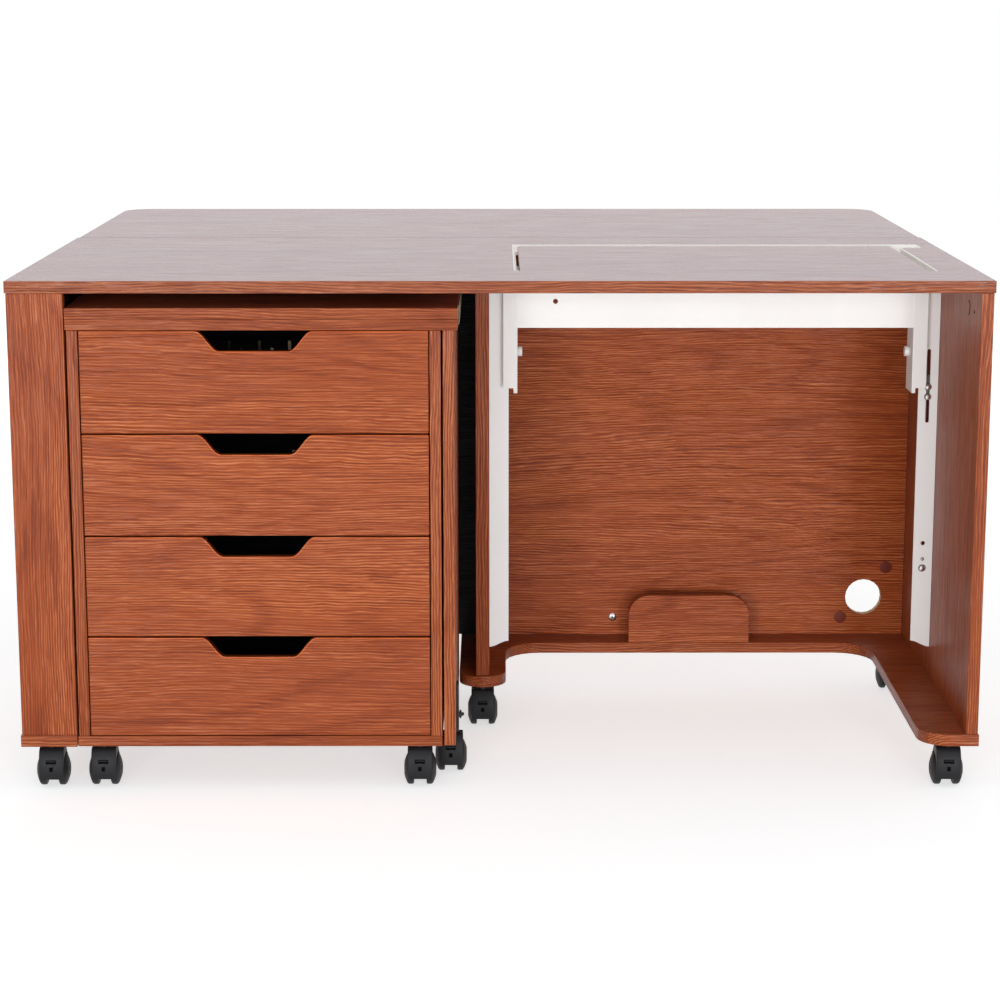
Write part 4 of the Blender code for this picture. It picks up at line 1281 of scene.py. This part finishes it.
@dataclass
class Fittings:
    """Screws, caps, plates and pegs.

    A drop counts down from the worktop's top, and a place back counts from its front edge.
    """

    rail_inset: float = 0.0158
    rail_heads: tuple[Pair, ...] = ((0.207, 0.0049), (0.223, 0.0049), (0.488, 0.0019), (0.503, 0.0052))
    head_foot: float = 0.0005
    head_rise: float = 0.7
    washer: float = 0.0008
    tie_half: float = 0.0027
    tie_depth: Pair = (0.0003, 0.0016)
    tie_drop: Pair = (0.225, 0.188)
    caps: tuple[Pair, ...] = ((0.6676, 0.204), (0.591, 0.1155))
    screw: Pair = (0.196, 0.116)
    cross: Pair = (0.0032, 0.0006)
    cross_depth: Pair = (0.0024, 0.0012)
    lock: Pair = (0.102, 0.7167)
    lock_rim: float = 0.0108
    lock_cap: float = 0.0094
    lock_rise: float = 0.0006
    pin: Pair = (0.057, 0.7155)
    pin_radius: float = 0.0028
    rim_rise: float = 0.0003
    plate_back: float = 0.090
    plate_half: float = 0.012
    plate_ends: Pair = (0.0675, 0.142)
    plate_thick: float = 0.0040
    plate_soft: float = 0.0008
    knob_height: float = 0.092
    neck_ends: Pair = (0.003, 0.006)
    neck_radius: float = 0.0030
    knob_rise: float = 0.0062
    knob_half: float = 0.004
    knob_radius: float = 0.0044
    knob_lobes: int = 4
    knob_lobe: float = 0.0014
    peg_rows: tuple[Pair, ...] = ((-0.5544, 0.20), (-0.5283, 0.12))
    peg_count: int = 9
    peg_step: float = 0.0464
    peg_top: float = 0.654
    peg_radius: float = 0.0025
    peg_ease: float = 0.0006
    peg_shades: Pair = (-0.345, -0.375)
    lone_peg: Pair = (-0.319, 0.20)
    lone_top: float = 0.484
    tray_floor: float = 0.006

    def __post_init__(self) -> None:
        """Take the worktop's front edge and top from the frame."""
        low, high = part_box("worktop")
        self.front, self.top = low.y, high.z

    def make(self) -> None:
        """Put every fitting in place."""
        self.rail_screws()
        self.panel_caps()
        self.panel_screw()
        self.side_lock()
        self.gate_plate()
        self.thread_pegs()

    def rail_screws(self) -> None:
        """Screw heads in the right rail's slot and at its foot, and the tie in the slot."""
        low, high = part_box("lift_rail_right")
        x, y = high.x - self.rail_inset, low.y
        heads, washers = Stock(), Stock()
        for drop, radius in self.rail_heads:
            z = self.top - drop
            heads.dome((x, y - self.head_foot, z), Axis.Y, radius, -self.head_rise * radius)
            washers.rod((x, y, z), (x, y - self.washer, z), radius + self.washer)
        bright, black = [BRIGHT_STEEL.material()], [BLACK_STEEL.material()]
        heads.piece("rail_screws", "cabinet", Slot.BRIGHT, bright, sharp=ROUND_ANGLE)
        washers.piece("rail_washers", "cabinet", Slot.STEEL, black, sharp=ROUND_ANGLE)
        foot, head = (self.top - drop for drop in self.tie_drop)
        front, back = (y + depth for depth in self.tie_depth)
        tie = Stock().box((x - self.tie_half, front, foot), (x + self.tie_half, back, head))
        tie.piece("rail_tie", "cabinet", Slot.STEEL, [DULL_STEEL.material()])

    def panel_caps(self) -> None:
        """Two cover caps on the back panel."""
        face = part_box("back_panel")[0].y
        profile = [(0.0, 0.0), (0.0, 0.0105), (-0.0006, 0.0103), (-0.0009, 0.0094), (-0.0009, 0.0)]
        stock = Stock()
        for x, z in self.caps:
            stock.turned(profile, (x, face, z), Axis.Y)
        stock.piece("cover_caps", "cabinet", Slot.WOOD, [CAP_BROWN.material()], sharp=ROUND_ANGLE)

    def panel_screw(self) -> None:
        """The cross-head screw beside the rear stop, its cross recess drawn as a black cross of painted
        shade.
        """
        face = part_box("back_panel")[0].y
        x, z = self.screw
        profile = [(0.0, 0.0), (0.0, 0.0068), (-0.0008, 0.0068), (-0.0018, 0.0050), (-0.0022, 0.0)]
        head = Stock().turned(profile, (x, face, z), Axis.Y)
        head.piece("panel_screw", "cabinet", Slot.BRIGHT, [BRIGHT_STEEL.material()], sharp=ROUND_ANGLE)
        front, back = (face - depth for depth in self.cross_depth)
        # Painted shade: a black steel cross stands in for the shaded cross recess.
        cross = Stock()
        for wide, high in (self.cross, self.cross[::-1]):
            cross.box((x - wide, front, z - high), (x + wide, back, z + high))
        cross.piece("panel_screw_painted_shade_cross", "cabinet", Slot.STEEL, [BLACK_STEEL.material()])

    def side_lock(self) -> None:
        """A cam lock's cap in a black ring of painted shadow, and a black disc of painted shade over a
        pin hole, on the right panel's inner face.
        """
        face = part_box("right_side_panel")[0].x
        # Painted shade: black discs that stand in for the cap's edge shadow and the shaded pin hole.
        rims = Stock()
        for (back, z), radius in ((self.lock, self.lock_rim), (self.pin, self.pin_radius)):
            y = self.front + back
            rims.rod((face, y, z), (face - self.rim_rise, y, z), radius)
        rims.piece("side_lock_painted_shade_rims", "cabinet", Slot.BLACK, [PAINTED_HOLLOW_SHADE.material()], sharp=ROUND_ANGLE)
        y, z = self.front + self.lock[0], self.lock[1]
        cap = Stock().rod((face, y, z), (face - self.lock_rise, y, z), self.lock_cap)
        cap.piece("side_lock_cap", "cabinet", Slot.WOOD, [TEAK.along(Axis.Z)], sharp=ROUND_ANGLE)

    def gate_plate(self) -> None:
        """The plate over the gate leg's caster, with its lobed knob."""
        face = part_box("gate_leg")[1].x
        y, z = self.front + self.plate_back, self.knob_height
        foot, head = self.plate_ends
        stock = Stock().box(
            (face, y - self.plate_half, foot), (face + self.plate_thick, y + self.plate_half, head)
        ).soften(self.plate_soft)
        start, end = (face + out for out in self.neck_ends)
        stock.rod((start, y, z), (end, y, z), self.neck_radius)
        turns = [math.tau * k / TURNED_SIDES for k in range(TURNED_SIDES)]
        reach = [(t, self.knob_radius + self.knob_lobe * math.cos(self.knob_lobes * t)) for t in turns]
        middle = face + self.knob_rise
        lobes = [(middle + r * math.sin(t), z + r * math.cos(t)) for t, r in reach]
        stock.prism(lobes, Axis.Y, y - self.knob_half, y + self.knob_half)
        stock.piece("gate_plate", "caddy", Slot.STEEL, [BLACK_STEEL.material()], sharp=ROUND_ANGLE)

    def thread_pegs(self) -> None:
        """Two rows of thread pegs in the top drawer, darker to the left with painted shade, and one peg
        in the second.
        """
        stock = Stock()
        for row, (first, back) in enumerate(self.peg_rows):
            for column in range(self.peg_count - row):
                x = first + self.peg_step * column
                self.peg(stock, "drawer_1_box", (x, back), self.peg_top)
        # Painted shade: pegs left of the first bound take a darker tone, and pegs left of the second
        # bound take a darker one still.
        stock.paint(lambda face: sum(face.calc_center_median().x < x for x in self.peg_shades))
        tones = [wood.along(Axis.Z) for wood in PEG_PAINTED_SHADES]
        stock.piece("thread_pegs", "drawer_1", Slot.BLACK, tones, sharp=ROUND_ANGLE)
        lone = Stock()
        self.peg(lone, "drawer_2_box", self.lone_peg, self.lone_top)
        lone.piece("lone_peg", "drawer_2", Slot.BLACK, [PEG_WOOD.along(Axis.Z)], sharp=ROUND_ANGLE)

    def peg(self, stock: Stock, tray: str, place: Pair, high: float) -> None:
        """One round-topped dowel on a tray's floor.

        Args:
            stock: What it is added to.
            tray: The frame node that it stands in.
            place: Where it is across, and behind the worktop's front edge.
            high: Its top.
        """
        x, back = place
        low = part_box(tray)[0].z + self.tray_floor
        radius, tip = self.peg_radius, self.peg_radius - self.peg_ease
        profile = [(low, 0.0), (low, radius), (high - self.peg_ease, radius), (high, tip), (high, 0.0)]
        stock.turned(profile, (x, self.front + back, 0.0), Axis.Z, steps=14)


@dataclass(frozen=True)
class Lamp:
    """A soft box aimed at a point, its power in watts."""

    name: str
    place: Point
    aim: Point
    size: Pair
    power: float
    in_gloss: bool = True

    def make(self) -> None:
        """Put the lamp on the stage."""
        data = bpy.data.lights.new(self.name, "AREA")
        data.shape = "RECTANGLE"
        data.size, data.size_y = self.size
        data.energy = self.power
        lamp = bpy.data.objects.new(self.name, data)
        lamp.location = self.place
        run = Vector(self.aim) - Vector(self.place)
        lamp.rotation_euler = run.to_track_quat("-Z", "Y").to_euler()
        lamp.visible_glossy = self.in_gloss
        bpy.context.scene.collection.objects.link(lamp)


@dataclass
class Studio:
    """Floor, light and camera.

    The camera's angles are in degrees, and its lens and sensor in millimetres.
    """

    camera_at: Point = (-0.009, -4.2615, 1.175)
    camera_down: float = 11.354
    camera_right: float = 0.137
    lens: float = 90.70
    sensor: float = 36.0
    sight: float = 500.0
    ambient: float = 0.55
    floor_half: float = 150.0
    floor_colour: Colour = (0.775, 0.80, 0.81)
    floor_roughness: float = 0.9
    # The floor's glow rises from the first value within 2 m of the middle to the second beyond 6 m:
    # painted shade round the object.
    floor_shade_reach: Pair = (2.0, 6.0)
    floor_glow: Pair = (0.60, 0.66)
    lamps: tuple[Lamp, ...] = (
        Lamp("front_lamp", (0.0, -5.8, 0.95), (0.0, -0.4, 0.4), (4.4, 1.6), 152.0, in_gloss=False),
        Lamp("back_lamp", (0.0, 5.2, 2.4), (0.0, 0.5, 0.4), (4.0, 1.6), 50.0, in_gloss=False),
        Lamp("key_lamp", (-1.38, -4.6, 0.40), (-0.4, -0.5, 0.4), (0.35, 0.7), 26.0),
        Lamp("fill_lamp", (1.42, -4.7, 0.40), (0.4, -0.5, 0.4), (0.35, 0.7), 28.0),
    )

    def make(self) -> None:
        """Set the stage."""
        bpy.context.scene.view_settings.view_transform = "Standard"
        self.world()
        self.floor()
        for lamp in self.lamps:
            lamp.make()
        self.camera()

    def world(self) -> None:
        """White for what the camera and gloss see, and a plain level for the rest."""
        world = bpy.data.worlds.new("studio_world")
        world.use_nodes = True
        bpy.context.scene.world = world
        tree = world.node_tree
        seen = tree.nodes["Background"]
        seen.inputs["Color"].default_value = (*WHITE, 1.0)
        lit = tree.nodes.new("ShaderNodeBackground")
        lit.inputs["Strength"].default_value = self.ambient
        mix = tree.nodes.new("ShaderNodeMixShader")
        tree.links.new(self.plain_ray(tree), mix.inputs["Fac"])
        tree.links.new(lit.outputs[0], mix.inputs[1])
        tree.links.new(seen.outputs[0], mix.inputs[2])
        tree.links.new(mix.outputs[0], tree.nodes["World Output"].inputs["Surface"])

    @staticmethod
    def plain_ray(tree: bpy.types.NodeTree) -> bpy.types.NodeSocket:
        """One for camera, glossy and transmission rays, zero for the rest.

        Args:
            tree: The tree that the nodes go into.

        Returns:
            The value's socket.
        """
        path = tree.nodes.new("ShaderNodeLightPath")
        value = path.outputs["Is Camera Ray"]
        for other in ("Is Glossy Ray", "Is Transmission Ray"):
            either = tree.nodes.new("ShaderNodeMath")
            either.operation = "MAXIMUM"
            tree.links.new(value, either.inputs[0])
            tree.links.new(path.outputs[other], either.inputs[1])
            value = either.outputs[0]
        return value

    def floor(self) -> None:
        """A wide pale floor that keeps the object's shadow, its glow dimmer near the middle as painted
        shade round the object.
        """
        bm = bmesh.new()
        bmesh.ops.create_grid(bm, x_segments=1, y_segments=1, size=self.floor_half)
        mesh = bpy.data.meshes.new("floor")
        bm.to_mesh(mesh)
        bm.free()
        floor = bpy.data.objects.new("floor", mesh)
        bpy.context.scene.collection.objects.link(floor)
        bench = Bench("pale_floor")
        place = bench.add("TexCoord").outputs["Object"]
        away = bench.add("VectorMath", {0: place}, operation="LENGTH").outputs["Value"]
        glow = bench.spread(away, self.floor_shade_reach, self.floor_glow)
        bench.dress({
            "Base Color": (*self.floor_colour, 1.0),
            "Roughness": self.floor_roughness,
            "Specular IOR Level": 0.0,
            "Emission Color": (*WHITE, 1.0),
            "Emission Strength": bench.math("MULTIPLY", self.plain_ray(bench.tree), glow),
        })
        mesh.materials.append(bench.material)

    def camera(self) -> None:
        """The camera at the photograph's place and angle."""
        data = bpy.data.cameras.new("camera")
        data.lens = self.lens
        data.sensor_width = self.sensor
        data.clip_end = self.sight
        camera = bpy.data.objects.new("camera", data)
        camera.location = self.camera_at
        pitch = math.radians(90.0 - self.camera_down)
        camera.rotation_euler = (pitch, 0.0, -math.radians(self.camera_right))
        bpy.context.scene.collection.objects.link(camera)
        bpy.context.scene.camera = camera


CASTERS = (
    "front_left_caster", "front_right_caster", "middle_caster", "rear_left_caster", "rear_right_caster",
    "caddy_front_left_caster", "caddy_front_right_caster", "caddy_rear_left_caster",
    "caddy_rear_right_caster", "gate_caster",
)


def main() -> None:
    """Build every sub-assembly and the stage."""
    logging.basicConfig(level=logging.INFO, format="%(name)s %(message)s")
    Studio().make()
    Carcass().make()
    Lift().make()
    Stays().make()
    Caddy().make()
    for name in CASTERS:
        Caster(name).make()
    Fittings().make()


if __name__ == "__main__":
    main()
